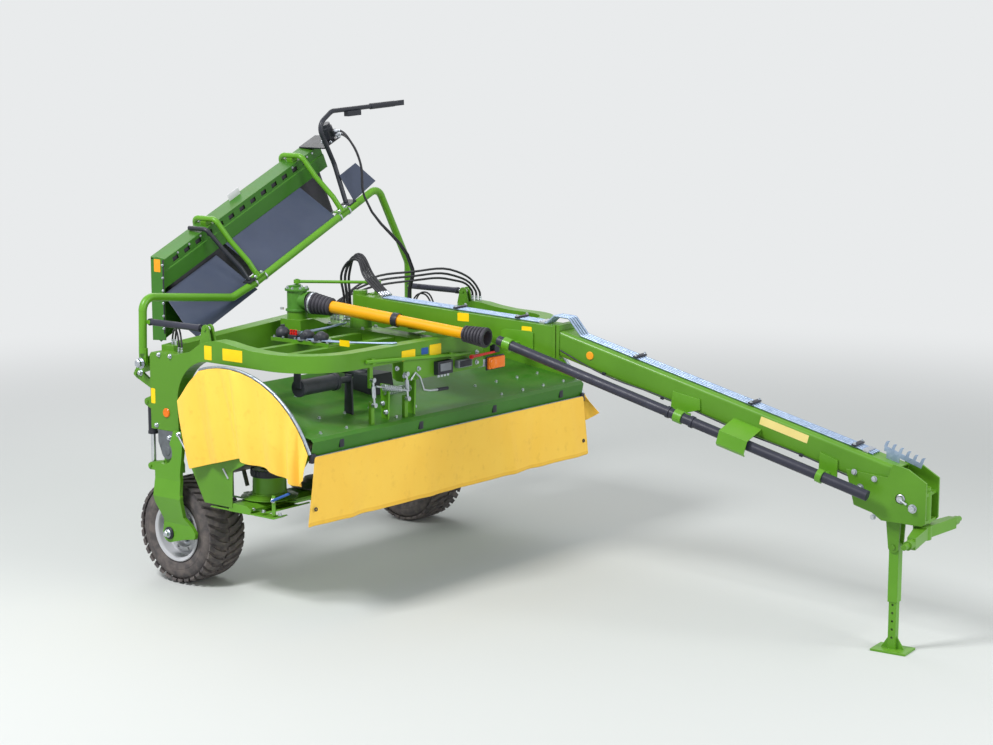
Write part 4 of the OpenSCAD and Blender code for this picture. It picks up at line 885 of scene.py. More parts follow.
@dataclass
class Curtains:
    """The cloth curtains that hang from the rails in front of and beside the header."""

    cloth_mm: float = 2.2
    front_cells: tuple[int, int] = (120, 16)
    front_creases: tuple[Crease, ...] = creases(
        (0.03, 0.02, 0.03, -20), (0.11, 0.13, 0.02, 15), (0.2, 0.18, 0.03, -18), (0.36, 0.39, 0.025, 14),
        (0.52, 0.5, 0.03, -15), (0.68, 0.7, 0.02, 17), (0.8, 0.77, 0.025, -18), (0.93, 0.95, 0.03, 16))
    hem_mm: float = 30.0
    side_cells: tuple[int, int] = (110, 34)
    side_creases: tuple[Crease, ...] = creases(
        (0.06, 0.03, 0.07, 34), (0.16, 0.15, 0.04, -26), (0.25, 0.27, 0.04, 32), (0.335, 0.385, 0.03, -44),
        (0.40, 0.425, 0.016, -30), (0.435, 0.49, 0.045, 60), (0.54, 0.61, 0.05, -30), (0.66, 0.72, 0.045, 30),
        (0.76, 0.8, 0.035, -26), (0.83, 0.855, 0.03, 32), (0.88, 0.91, 0.018, -60), (0.97, 0.985, 0.04, 44))
    rail_x: float = 711.0
    rail_z: float = 821.0
    rail_r: float = 864.0
    side_foot: tuple[Pair, ...] = ((372, 940), (835, 1066), (1212, 1015), (1425, 940), (1500, 1010))
    belly_mm: float = 24.0
    deepest_fold_mm: float = 34.0
    deepest_tuck_mm: float = -8.0
    flare_mm: tuple[float, float, float] = (125, 70, 20)
    flare_from: float = 0.74
    slip_mm: float = 25.0

    def build(self) -> None:
        """Hangs the three curtains and their small hardware."""
        self.front()
        for side in Side:
            self.side(side)
        self.hardware()

    def hang(self, name: str, shape: Shape, top: list[int], node: str, flat: tuple[float, float],
             area: float) -> None:
        """Args:
            name: the piece's name.
            shape: the cloth as one layer of faces.
            top: the numbers of the vertices that the rail holds.
            node: the CAD node that the cloth stands for.
            flat: the width and height of the cut; it is not used.
            area: the cut's flat area in square metres.
        """
        piece = make_piece(name, shape, [CURTAIN_CLOTH, HEM_CLOTH], "chassis", 180)
        self.settle(piece, top)
        solid = piece.modifiers.new("cloth_thickness", "SOLIDIFY")
        solid.thickness, solid.offset = self.cloth_mm / 1000, 0
        smooth = piece.modifiers.new("soft_folds", "SUBSURF")
        smooth.levels = smooth.render_levels = 1
        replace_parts(piece, node)
        LOG.info("%s: %.2f m2 of cloth", name, area)

    def settle(self, piece: bpy.types.Object, top: list[int]) -> None:
        """Runs the cloth under its own weight for a few frames and keeps the result.

        Args:
            piece: the hanging cloth.
            top: the numbers of the vertices that the rail holds.
        """
        pin = piece.vertex_groups.new(name="held")
        pin.add(top, 1.0, "REPLACE")
        cloth = piece.modifiers.new("hang", "CLOTH")
        for name, value in (("vertex_group_mass", "held"), ("mass", 0.02), ("tension_stiffness", 60),
                            ("compression_stiffness", 60), ("shear_stiffness", 30), ("bending_stiffness", 4),
                            ("quality", 5)):
            setattr(cloth.settings, name, value)
        cloth.collision_settings.use_collision = False
        for step in range(1, 11):
            bpy.context.scene.frame_set(step)
        hung = piece.evaluated_get(bpy.context.evaluated_depsgraph_get())
        places = [v.co.copy() for v in hung.to_mesh().vertices]
        hung.to_mesh_clear()
        piece.modifiers.remove(cloth)
        piece.vertex_groups.remove(pin)
        for vertex, place in zip(piece.data.vertices, places):
            slip = place - vertex.co
            vertex.co += slip * min(1.0, self.slip_mm / 1000 / max(slip.length, 1e-9))
        bpy.context.scene.frame_set(1)

    def front(self) -> None:
        """Hangs the wide curtain across the front, its folds deepening towards the hem."""
        low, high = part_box("front_curtain")
        middle_x, drop = (low.x + high.x) / 2, high.z - low.z
        top_half, low_half = high.y - 0.07, high.y
        shape = bmesh.new()
        bmesh.ops.create_grid(shape, x_segments=self.front_cells[0], y_segments=self.front_cells[1], size=0.5)
        for v in shape.verts:
            across, down = v.co.x * 2, 0.5 - v.co.y
            half = top_half + (low_half - top_half) * down
            push = sum(c.depth(v.co.x + 0.5, down) for c in self.front_creases)
            ripple = 1.6 * math.sin(across * 31 + 1.1) * down + 1.2 * math.sin(across * 53) * (1 - down)
            v.co = Vector((middle_x + (push + ripple) / 1000, across * half, high.z - drop * down))
        for face in shape.faces:
            face.material_index = int(face.calc_center_median().z < low.z + self.hem_mm / 1000)
        shape.verts.ensure_lookup_table()
        top = [v.index for v in shape.verts if v.co.z > high.z - 0.001]
        self.hang("curtain_front", shape, top, "front_curtain", (2 * low_half, drop), (top_half + low_half) * drop)

    def side(self, side: Side) -> None:
        """Hangs a side curtain from its curved rail, bellied out towards its foot.

        Args:
            side: the side it hangs on; the left one's front corner also flares out.
        """
        low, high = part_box(f"side_curtain_{side.tag}")
        plane = (low.y if side is Side.RIGHT else high.y) - side.value * 0.003
        rail = [(self.rail_x + self.rail_r * math.cos(math.radians(a)),
                 self.rail_z + self.rail_r * math.sin(math.radians(a))) for a in range(108, 20, -7)]
        shape = bmesh.new()
        bmesh.ops.create_grid(shape, x_segments=self.side_cells[0], y_segments=self.side_cells[1], size=0.5)
        flat: dict[Vert, Vector] = {}
        held: list[Vert] = []
        out_x, out_y, out_z = self.flare_mm
        for v in shape.verts:
            along, down = v.co.x + 0.5, 0.5 - v.co.y
            x, z = between(along_line([(200, 1405), *rail], along), along_line(self.side_foot, along), down)
            folds = sum(c.depth(along, down) for c in self.side_creases) / self.deepest_fold_mm
            push = self.belly_mm * min(1.0, down * 1.6) + self.deepest_fold_mm * math.tanh(folds)
            flare = 0.0
            if side is Side.LEFT:
                flare = max(0.0, along - self.flare_from) / (1 - self.flare_from) * down ** 1.3
            flat[v] = AXLE @ mm(x, 0, z) + Vector((0, plane, 0))
            v.co = flat[v] + mm(out_x * flare, side.value * (max(push, self.deepest_tuck_mm) * (1 - flare)
                                              + out_y * flare), out_z * flare)
            if down < 0.001 and math.dist((x, z), (self.rail_x, self.rail_z)) > self.rail_r - 9:
                held.append(v)
        area = sum(self.flat_area([flat[v] for v in face.verts]) for face in shape.faces)
        if side is Side.LEFT:
            bmesh.ops.reverse_faces(shape, faces=shape.faces[:])
        shape.verts.index_update()
        self.hang(f"curtain_{side.tag}", shape, [v.index for v in held], f"side_curtain_{side.tag}",
                  (high.x - low.x, high.z - low.z), area)

    def flat_area(self, corners: list[Vector]) -> float:
        """Gives the area of a flat four-sided face."""
        a, b, c, d = corners
        return ((b - a).cross(c - a).length + (c - a).cross(d - a).length) / 2

    def hardware(self) -> None:
        """Adds the rail's clamps and end caps, the latches and the eyelets near the lower corners."""
        made = Fittings("curtain_hardware", "chassis")
        low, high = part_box("front_curtain")
        for y in (-1490, -750, 0, 750, 1490):
            made.block((10, 34, 30), (1513, y, 1150), BLACK_PLASTIC, 3)
        for y in (-1533, 1533):
            made.block((34, 40, 66), (1508, y, 1148), BLACK_PLASTIC, 5)
        for y in (low.y + 0.07, high.y - 0.07):
            eyelet = Matrix.Translation(Vector((high.x + 0.0035, y, low.z + 0.12))) @ turned(FORE)
            made.lathe([(7, -4), (7, 2), (11, 3), (14, 2), (15, 0), (15, -4)], eyelet, BLACK_PLASTIC, 16)
        clamp_r = self.rail_r + 4
        for side in Side:
            for angle in (30, 44, 58, 72, 86, 100):
                turn = math.radians(angle)
                middle = (self.rail_x + clamp_r * math.cos(turn), side.value * 1552,
                          self.rail_z + clamp_r * math.sin(turn))
                made.block((30, 28, 16), middle, GALVANISED, 3, tilt(90 - angle, "Y"))
        made.done()


# ---------- wheels ----------

@dataclass
class Wheel:
    """A wide low-pressure tyre with curved lugs, and the wheel's nuts, cap and valve."""

    side: Side
    crown_mm: float = 389.0
    groove_mm: float = 15.0
    half_width_mm: float = 172.0
    lugs: int = 34
    nut_circle_mm: float = 94.5
    valve_angle: float = 1.1

    def build(self) -> None:
        """Builds the tyre and the fittings of the wheel."""
        self.tyre()
        self.nuts()

    def start(self, name: str, slot: str) -> Fittings:
        """Starts a piece that is built round Z with its outer side up."""
        return Fittings(f"{name}_{self.side.tag}", f"wheel_{self.side.tag}", slot, Matrix.Identity(4))

    def mount(self, made: Fittings) -> bpy.types.Object:
        """Turns a piece's top outwards, sets it on the axle and makes it.

        Args:
            made: the piece, built round Z.

        Returns:
            The piece.
        """
        low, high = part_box(f"rim_{self.side.tag}")
        made.shape.transform(Matrix.Translation((low + high) / 2) @ tilt(-90 * self.side.value, "X"))
        return made.done()

    def crown(self, across: float) -> float:
        """Gives the radius over the lugs at a distance across from the middle, in millimetres."""
        share = abs(across) / self.half_width_mm
        return self.crown_mm - 5 * share ** 2 - 70 * max(0.0, share - 0.66) ** 1.7

    def tyre(self) -> None:
        """Turns the carcass and sets the lugs on it in two rows, half a pitch apart."""
        made = self.start("tyre_tread", "tyre")
        half = [(203.5, 149.5), (229, 149.5), (236, 158), (252, 168), (282, 171.5), (286, 169), (290, 171.5),
                (318, 169), (338, 161), (352, 150), (361, 136), (368, 116), (372, 90), (374, 50), (375, 0)]
        profile = [(r, -v) for r, v in half] + half[-2::-1]
        made.lathe(profile, Matrix.Identity(4), TREAD_RUBBER, 96)
        for row in (1, -1):
            lug = self.lug(row)
            for _ in range(self.lugs):
                made.shape.from_mesh(lug)
                lug.transform(Matrix.Rotation(math.tau / self.lugs, 4, "Z"))
            bpy.data.meshes.remove(lug)
        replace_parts(self.mount(made), f"tyre_{self.side.tag}")

    def lug(self, row: int) -> bpy.types.Mesh:
        """Bends a block onto the crown as one lug that runs from the middle over the shoulder.

        Args:
            row: 1 for the outer row and -1 for the inner.

        Returns:
            The lug's mesh, round the wheel's own axis.
        """
        block = bmesh.new()
        bmesh.ops.create_cube(block, size=1.0)
        along = [e for e in block.edges if abs(e.verts[0].co.x - e.verts[1].co.x) > 0.5]
        bmesh.ops.subdivide_edges(block, edges=along, cuts=5, use_grid_fill=True)
        for v in block.verts:
            share, side, on_top = v.co.x + 0.5, v.co.y * 2, v.co.z > 0
            across = row * (8 + (self.half_width_mm - 10) * share) * (1 if on_top else 0.97)
            radius = self.crown(across) - (0 if on_top else self.groove_mm + 5)
            half = (0.040 + 0.024 * share) * (0.9 if on_top else 1.2)
            turn = 0.19 * share ** 1.8 + side * half + (math.pi / self.lugs if row < 0 else 0)
            v.co = mm(radius * math.cos(turn), radius * math.sin(turn), across)
        bmesh.ops.recalc_face_normals(block, faces=block.faces[:])
        mesh = bpy.data.meshes.new("lug")
        block.to_mesh(mesh)
        block.free()
        return mesh

    def nuts(self) -> None:
        """Adds the eight wheel nuts on their studs, the hub's cap and the valve."""
        made = self.start("wheel_nuts", "galvanised")
        for number in range(8):
            turn = number * math.tau / 8 + 0.2
            seat = Vector((self.nut_circle_mm * math.cos(turn), self.nut_circle_mm * math.sin(turn), 66.5))
            made.rod(seat, seat + UP * 27, 6.5, segments=12)
            made.bolt(seat, UP, 27)
        made.lathe([(47, 0), (47, 6), (42, 10), (30, 11), (28, 9), (0.2, 9)], shift(0, 0, 112), BLACK_PLASTIC, 32)
        valve = Vector((190 * math.cos(self.valve_angle), 190 * math.sin(self.valve_angle), 85))
        made.rod(valve, valve + Vector((-4, -8, 34)), 4.5, BLACK_PLASTIC, 10)
        self.mount(made)


# ---------- trims ----------

@dataclass
class CarrierTrim:
    """What is bolted, stuck and clipped to the carrier frame: bow, arches, legs, tray and mast."""

    bow_x: float = 1481.0
    arch_y: float = 1480.0

    def build(self) -> None:
        """Dresses the bow, the tray, the arches and legs, and the mast."""
        self.bow()
        self.tray()
        for side in Side:
            self.leg(side)
        self.arch_labels()
        self.mast()

    def bow(self) -> None:
        """Adds the lamp, boxes, crank, links and blank labels on the bow's front face."""
        made = Fittings("bow_trim", "chassis")
        face = self.bow_x
        for y, z, size, film in ((-512, 1729, (146, 72), LABEL_FILM), (-335, 1738, (74, 48), BLUE_FILM),
                                 (-218, 1735, (128, 78), LABEL_FILM), (860, 1745, (120, 60), LABEL_FILM)):
            made.label(size, (face - 0.6, y, z), FORE, film)
        made.lathe([(44, 0), (44, 14), (40, 30), (26, 38), (0.2, 40)], made.facing((face - 4, 420, 1556), FORE),
                   AMBER_LENS, 32)
        for size, middle, finish, round_mm in (
                ((44, 156, 58), (face + 20, 75, 1602), GREY_PLASTIC, 6),
                ((8, 130, 44), (face + 43, 75, 1602), BLACK_PLASTIC, 3),
                ((26, 196, 88), (face + 8, 470, 1558), AMBER_LENS, 9),
                ((10, 212, 104), (face - 2, 470, 1558), BLACK_PLASTIC, 4),
                ((7, 300, 56), (face - 10, 430, 1566), GALVANISED, 2),
                ((42, 165, 96), (1502, -152, 1600), BLACK_PLASTIC, 8),
                ((6, 120, 56), (1525, -152, 1604), GREY_PLASTIC, 3),
                ((50, 60, 60), (1484, 462, 1666), BLACK_PLASTIC, 4)):
            made.block(size, middle, finish, round_mm)
        self.lever(made, Vector((1496, 462, 1641)), Vector((1540, 143, 1646)))
        made.tube([(1488, -500, 1548), (1500, -462, 1600), (1506, -420, 1560), (1500, -371, 1464),
                   (1498, -300, 1448), (1498, -215, 1443)], 9, FITTING_ZINC, False, 3)
        made.rod((1498, -216, 1443), (1498, -104, 1440), 13, BLACK_PLASTIC, 14)
        for x, y, z in ((1479, -638, 1648), (1480, -405, 1618), (1480, -560, 1585), (1480, -180, 1585),
                        (1480, 250, 1585), (1480, 250, 1660)):
            made.bolt((x, y, z), FORE, 26)
        for y in (-205, -170, -135, -100):
            made.rod((1498, y, 1556), (1498, y, 1532), 9, segments=6)
        made.done()

    def lever(self, made: Fittings, root: Vector, tip: Vector) -> None:
        """Adds the red hand lever with its grip, from its root to its tip.

        Args:
            made: the bow's fittings.
            root: where the lever turns.
            tip: where its grip starts.
        """
        made.rod(root, tip, 9, RED_PLASTIC, 12, 12)
        made.lathe([(0.2, -4), (12, -2), (16, 8), (16, 30), (12, 40), (0.2, 42)], made.facing(tip, tip - root),
                   RED_PLASTIC, 16)

    def tray(self) -> None:
        """Adds the accumulators' straps, the valve's fittings and the tray's blank label."""
        made = Fittings("tray_trim", "chassis")
        made.label((98, 44), (1119, -786, 1811), RIGHT, LABEL_FILM)
        made.rod((430, -712, 1990), (430, -712, 2006), 14, segments=6)
        for x in (680, 820):
            for y in (-752, -672):
                made.rod((x, y, 1792), (x, y, 1799), 46, GALVANISED, 24)
        for x in (540, 565, 590):
            made.rod((x, -700, 1816), (x, -700, 1846), 9, segments=6)
            made.lathe([(8, 0), (11, 2), (11, 16), (8, 18), (8, 30), (10, 31), (10, 38), (0.2, 40)],
                       made.facing((x, -735, 1816), UP), RED_PLASTIC, 14)
        for x in (410, 500, 620, 740, 860, 940):
            made.bolt((x, -777, 1793), UP, 18)
        for y, fan in ((-742, 30), (-724, 52), (-706, 74)):
            made.tube([(614, y, 1800), (700 + fan, y, 1798), (1000, y + 20, 1800), (1200 + fan, y + 60, 1812),
                       (1420, y + 140, 1817)], 6, PIPE_ZINC)
        made.done()

    def leg(self, side: Side) -> None:
        """Adds a leg's pins, bolts, reflector and blank label, and its wheel arm's bolts, thin rod and cap.

        Args:
            side: the side of the leg.
        """
        made = Fittings(f"leg_trim_{side.tag}", "chassis")
        outer = -self.arch_y
        for seat, across in (((-250, -1487, 1620), 62), ((-322, -1426, 1535), 34), ((32, -1478, 1101), 30),
                             ((-60, outer, 1700), 26), ((60, outer, 1700), 26), ((-100, outer, 1180), 26)):
            made.bolt(seat, RIGHT, across)
        made.lathe([(34, 0), (34, 5), (30, 9), (0.2, 9)], made.facing((7, outer, 1282), RIGHT), AMBER_LENS, 28)
        made.label((44, 110), (-132, outer, 1392), RIGHT, LABEL_FILM)
        made.done(side)
        arm = Fittings(f"arm_trim_{side.tag}", f"wheel_arm_{side.tag}")
        arm.bolt((170, -1515, 1147), RIGHT, 30)
        arm.rod((170, -1526, 1147), (262, -1526, 1032), 8, segments=12)
        arm.lathe([(46, -4), (46, 8), (40, 16), (0.2, 18)], arm.facing((0, -1476.5, 390), RIGHT), BLACK_PLASTIC, 32)
        arm.bolt((0, -1493, 390), RIGHT, 46)
        arm.done(side)

    def arch_labels(self) -> None:
        """Adds the blank labels on the arches' outer faces."""
        made = Fittings("arch_labels", "chassis", "guard_yellow")
        for side in Side:
            y = side.value * self.arch_y
            made.label((74, 100), (454, y, 1762), side.out, LABEL_FILM)
            made.label((196, 84), (700, y, 1766), side.out, LABEL_FILM, 4)
        made.done()

    def mast(self) -> None:
        """Adds the mast's bolts and the pipes that run across behind the bow."""
        made = Fittings("mast_trim", "chassis")
        for x, z in ((300, 1806), (640, 1792.4)):
            for y in (-74, 74):
                made.bolt((x, y, z), UP, 24)
        for number in range(4):
            y = -80 + 26 * number
            made.tube([(404, y, 1812), (404, y - 70, 1804), (420 + 14 * number, -420, 1800),
                       (430 + 14 * number, -620, 1800)], 6, PIPE_ZINC)
        made.done()


@dataclass
class HeaderTrim:
    """What is bolted to the header: suspension links and springs, hood bolts, drum rings and end plate bolts."""

    hood_slope: float = math.tan(math.radians(8))
    rotor_x: float = 800.0
    outer_rotor_y: float = 1240.0
    bristles: int = 30

    def build(self) -> None:
        """Dresses the suspension, the hood and its ends."""
        self.suspension()
        self.hood()
        for side in Side:
            self.end(side)
            self.drum_ring(side)

    def suspension(self) -> None:
        """Adds the coil springs, the turnbuckles and the bolts of the suspension plates."""
        made = Fittings("suspension_trim", "chassis")
        made.spring((1425, -690, 1480), (1425, -440, 1480), 24, 4.5, 11)
        for y, way in ((-709, RIGHT), (-411, LEFT)):
            for x, z in ((1425, 1480), (1410, 1400), (1440, 1340)):
                made.bolt((x, y, z), way, 30)
        for y in (-901, -548):
            top, low = Vector((1492, y, 1600)), Vector((1492, y + 12, 1420))
            made.block((26, 34, 170), (1466, y, 1626), LEAF_GREEN, 4)
            made.block((30, 34, 170), (1464, y + 12, 1358), LEAF_GREEN, 4)
            made.rod(top, low, 9, segments=12)
            made.rod(top.lerp(low, 0.25), top.lerp(low, 0.7), 15, segments=6)
            for end in (top, low):
                made.rod(end - 16 * FORE, end + 16 * FORE, 17)
        made.spring((1504, -811, 1539), (1504, -629, 1499), 20, 4, 9)
        made.rod((1504, -880, 1554), (1504, -560, 1484), 7, segments=10)
        made.done()

    def hood(self) -> None:
        """Adds the hood's bolts and the black clips on its front edge."""
        made = Fittings("hood_trim", "chassis")
        for y in (-1380, -1120, -860, -600, 600, 860, 1120, 1380):
            for x in (1440, 1180, 700):
                made.bolt((x, y, 1280 + (1500 - x) * self.hood_slope), Vector((self.hood_slope, 0, 1)), 20)
        for y in (-1250, -420, 420, 1250):
            made.block((40, 46, 60), (1501, y, 1215), BLACK_PLASTIC, 5)
        made.done()

    def end(self, side: Side) -> None:
        """Adds an end's plate bolts, its blue rod on a bracket and its link.

        Args:
            side: the side of the end.
        """
        made = Fittings(f"header_end_{side.tag}", "chassis", "bright_steel")
        for x in (520, 610, 700, 900, 1000, 1100, 1160):
            made.bolt((x, -1500, 697), UP, 24)
        # Painted light: the bracket takes the lightened copy of the leaf green enamel.
        made.block((34, 8, 140), (1112, -1512, 762), LIT_LEAF_GREEN, 3)
        made.bolt((1112, -1516, 798), RIGHT, 26)
        made.rod((1107, -1526, 796), (1276, -1526, 871), 9, BLUE_PAINT, 12)
        made.rod((647, -1540, 966), (696, -1540, 899), 8, segments=12)
        made.done(side)

    def drum_ring(self, side: Side) -> None:
        """Adds the ring of bristles round the drum on an outer rotor.

        Args:
            side: the side of the rotor.
        """
        rotor = "cutting_rotor_1" if side is Side.RIGHT else "cutting_rotor_6"
        middle = shift(self.rotor_x, -self.outer_rotor_y, 0)
        made = Fittings(f"drum_ring_{side.tag}", rotor, "rotor_steel", AXLE @ middle)
        made.lathe([(129.5, 890), (133, 892), (133, 936), (129.5, 939)], made.placing, BLACK_PLASTIC, 48)
        for number in range(self.bristles):
            turn = number * math.tau / self.bristles
            x, y = 131 * math.cos(turn), 131 * math.sin(turn)
            made.rod((x, y, 906), (x, y, 945), 8, SATIN_BLACK, 4, 5)
        made.done(side)


@dataclass
class DrawbarTrim:
    """What is clipped, stuck and bolted to the drawbar."""

    face_y: float = -100.2
    pipe_step: float = 32.0

    def build(self) -> None:
        """Dresses the beam, the pipes and the head."""
        self.labels()
        self.clips()
        self.head()

    def rear_top(self, s: float) -> float:
        """Gives the rear beam's top height at a distance along it, in millimetres."""
        return 2045 - 100 * s / 1790

    def labels(self) -> None:
        """Adds the blank labels, the blank long plate and the reflector on the beam's right face."""
        made = Fittings("drawbar_labels", "drawbar", "guard_yellow", DRAWBAR)
        made.label((100, 60), (1013, self.face_y, 1956), RIGHT, LABEL_FILM)
        made.label((84, 60), (1560, self.face_y, 1900), RIGHT, LABEL_FILM)
        made.placing = FRONT_BEAM
        made.lathe([(29, 0), (29, 5), (25, 8), (0.2, 8)], made.facing((278, -100, 5), RIGHT), ORANGE_FILM, 28)
        made.label((360, 55), (1815, self.face_y, 38), RIGHT, CREAM_FILM, 3, 1.5, UP)
        made.done()

    def clips(self) -> None:
        """Adds the pipe clips, the fittings at the rib, and the cable under the beam."""
        made = Fittings("drawbar_clips", "drawbar", placing=DRAWBAR)
        clips = [(DRAWBAR, s, self.rear_top(s) + 20) for s in (919, 1456)]
        for placing, s, z in (*clips, *((FRONT_BEAM, s, 110) for s in (604, 1520, 2295))):
            made.placing = placing
            made.block((30, 150, 14), (s, 0, z), BLACK_PLASTIC, 3)
            for y in (-64, 64):
                made.bolt((s, y, z + 7), UP, 17)
        for number in range(4):
            y = self.pipe_step * (number - 1.5)
            made.placing = DRAWBAR
            made.rod((1640, y, self.rear_top(1640) + 9), (1684, y, self.rear_top(1684) + 9), 14, segments=6)
            made.placing = FRONT_BEAM
            made.rod((2360, y, 99), (2400, y, 99), 13, segments=6)
        made.tube([(40, -104, -40), (420, -106, -84), (900, -106, -70), (1500, -106, -84), (1980, -106, -76),
                   (2330, -106, -86)], 5, BLACK_PLASTIC)
        for s in (420, 900, 1500, 1980):
            made.block((26, 14, 22), (s, -105, -78), BLACK_PLASTIC, 3)
        made.done()

    def head(self) -> None:
        """Adds the head's pins, bolts and boss."""
        made = Fittings("head_trim", "drawbar", placing=DRAWBAR)
        for s, z, across in ((4134, 1082, 38), (4494, 987, 44), (4230, 1150, 30), (4090, 1180, 30), (4230, 900, 30)):
            made.bolt((s, -116, z), RIGHT, across)
        made.lathe([(30, -10), (30, 22), (24, 26), (20, 40), (0.2, 42)], made.facing((4410, -92, 1040), RIGHT))
        made.rod((4410, -128, 1040), (4462, -134, 1012), 8, segments=12)
        made.done()


@dataclass
class ShaftTrim:
    """The bolts of the swivel gearbox and the bands on the guard tube."""

    bolt_circle_mm: float = 78.0

    def build(self) -> None:
        """Dresses the swivel gearbox and the guards."""
        made = Fittings("turret_trim", "swivel_drive", placing=TURRET)
        for number in range(8):
            turn = number * math.tau / 8 + 0.3
            made.bolt((self.bolt_circle_mm * math.cos(turn), self.bolt_circle_mm * math.sin(turn), 90), UP, 19)
        made.lathe([(51, 894), (51.5, 896), (51.5, 942), (51, 944), (46.5, 944), (46.5, 894), (51, 894)], SHAFT,
                   BLACK_PLASTIC, 32)
        made.lathe([(82, 150), (84.5, 152), (84.5, 164), (82, 166)], SHAFT, steps=40)
        made.done()


@dataclass
class ConveyorTrim:
    """What is bolted and clipped to the swung-up conveyor."""

    motor_u: float = 1445.0

    def build(self) -> None:
        """Dresses the trough, the near end plate, the hoops' feet and the motor."""
        self.trough()
        self.near_end()
        self.motor()

    def trough(self) -> None:
        """Adds the rim's bolts, the hoops' foot bolts and clamps, and the blank plate."""
        made = Fittings("trough_trim", "conveyor", placing=TROUGH)
        for u in (-335, -205, -75, 10, 120, 1040, 1160, 1225, 1290):
            made.bolt((-326, u, 440), FORE, 20)
        for foot in (62, 1110):
            for du in (-36, 36):
                made.bolt((8, foot + du, 42), UP, 24)
            for du in (-62, 50):
                made.rod((0, foot + du, 0), (0, foot + du + 12, 0), 36, segments=24)
        made.block((5, 130, 62), (-430, 470, 498), WHITE_FILM, 2)
        made.done()

    def near_end(self) -> None:
        """Adds the screwed black strip and the blank label of the near end plate."""
        made = Fittings("near_end_trim", "conveyor", "guard_yellow")
        made.block((12, 10, 560), (-562, -968, 2030), BLACK_PLASTIC, 3)
        for number in range(6):
            made.bolt((-562, -973, 1790 + 96 * number), RIGHT, 15)
        made.label((70, 96), (-630, -966.3, 2262), RIGHT, ORANGE_FILM)
        made.done()

    def motor(self) -> None:
        """Adds the hydraulic motor's fittings and its flange bolts."""
        made = Fittings("motor_trim", "conveyor", placing=TROUGH)
        for v in (536, 566):
            made.rod((-146, self.motor_u, v), (-118, self.motor_u, v), 13, segments=6)
        for dx in (-46, 46):
            for du in (-46, 46):
                made.bolt((-225 + dx, self.motor_u + du, 487), UP, 20)
        made.done()


# ---------- hoses ----------

def route(*legs: tuple[Matrix, Point]) -> list[Vector]:
    """Gives a hose's points from pairs of a frame and the millimetres in it."""
    return [placing @ mm(*point) for placing, point in legs]


@dataclass
class Hoses:
    """The hydraulic hoses over the pivot, behind the beam, to the conveyor and to its cylinders."""

    pivot_feet: tuple[tuple[float, float], ...] = ((338, 58), (366, 66), (340, 86), (370, 90))
    mast_arches: tuple[float, ...] = (2140, 2105, 2070)

    def build(self) -> None:
        """Lays every hose."""
        self.over_pivot()
        self.behind_beam()
        self.to_motor()
        self.cylinders()

    def over_pivot(self) -> None:
        """Arches four hoses from the beam's pipes over the pivot down to the mast."""
        for number, (x, y) in enumerate(self.pivot_feet):
            t = -48 + 32 * number
            points = route((DRAWBAR, (246, t, 2052)), (DRAWBAR, (180, t * 1.05, 2098)),
                           (DRAWBAR, (80, t * 1.15 + 8, 2180)),
                           (AXLE, (480 - 6 * number, 60 + t * 0.5, 2300 + 12 * number)),
                           (AXLE, (x - 18, y + t * 0.2, 2190)), (AXLE, (x - 8, y, 2000)), (AXLE, (x, y, 1880)),
                           (AXLE, (x, y, 1816)))
            Hose(f"pivot_hose_{number + 1}", points, "drawbar", "chassis").build()

    def behind_beam(self) -> None:
        """Arches three hoses across the mast behind the beam."""
        for number, top in enumerate(self.mast_arches):
            start, end = AXLE @ mm(250 - 34 * number, 74, 1812), AXLE @ mm(560 - 40 * number, 1425, 1853)
            over = route((AXLE, (290 - 20 * number, 300, top - 60)), (AXLE, (430, 760, top)),
                         (AXLE, (520 - 30 * number, 1180, top - 30)))
            points = [start, start + mm(2, 10, 90), *over, end + mm(0, -14, 84), end]
            Hose(f"mast_hose_{number + 1}", points, "chassis", hose_mm=18.0).build()

    def to_motor(self) -> None:
        """Leads two hoses from the left leg up to the conveyor's motor."""
        for number in range(2):
            v, y = 536 + 30 * number, 1290 + 24 * number
            points = route((TROUGH, (-118, 1445, v)), (TROUGH, (-70, 1445, v)),
                           (TROUGH, (0, 1440 - 10 * number, v - 60)), (TROUGH, (70, 1400, 300 + 20 * number)),
                           (TROUGH, (96, 1300, 60)), (AXLE, (-60, y, 2080)), (AXLE, (-110, y + 20, 1900)),
                           (AXLE, (-118, y + 26, 1760)))
            Hose(f"motor_hose_{number + 1}", points, "conveyor", "chassis", 18.0).build()

    def cylinders(self) -> None:
        """Leads hoses from the arches to the conveyor cylinders' feet."""
        for side in Side:
            for number in range(2):
                x = -84 + 30 * number
                legs = ((x, -1322, 1757), (x + 1, -1324, 1800), (x + 73, -1360, 1876 + 14 * number),
                        (x + 145, -1396, 1790), (x + 146, -1398, 1716))
                points = route(*((AXLE @ side.placing, leg) for leg in legs))
                Hose(f"arch_hose_{side.tag}_{number + 1}", points, "chassis", hose_mm=14.0).build()


# ---------- stage ----------

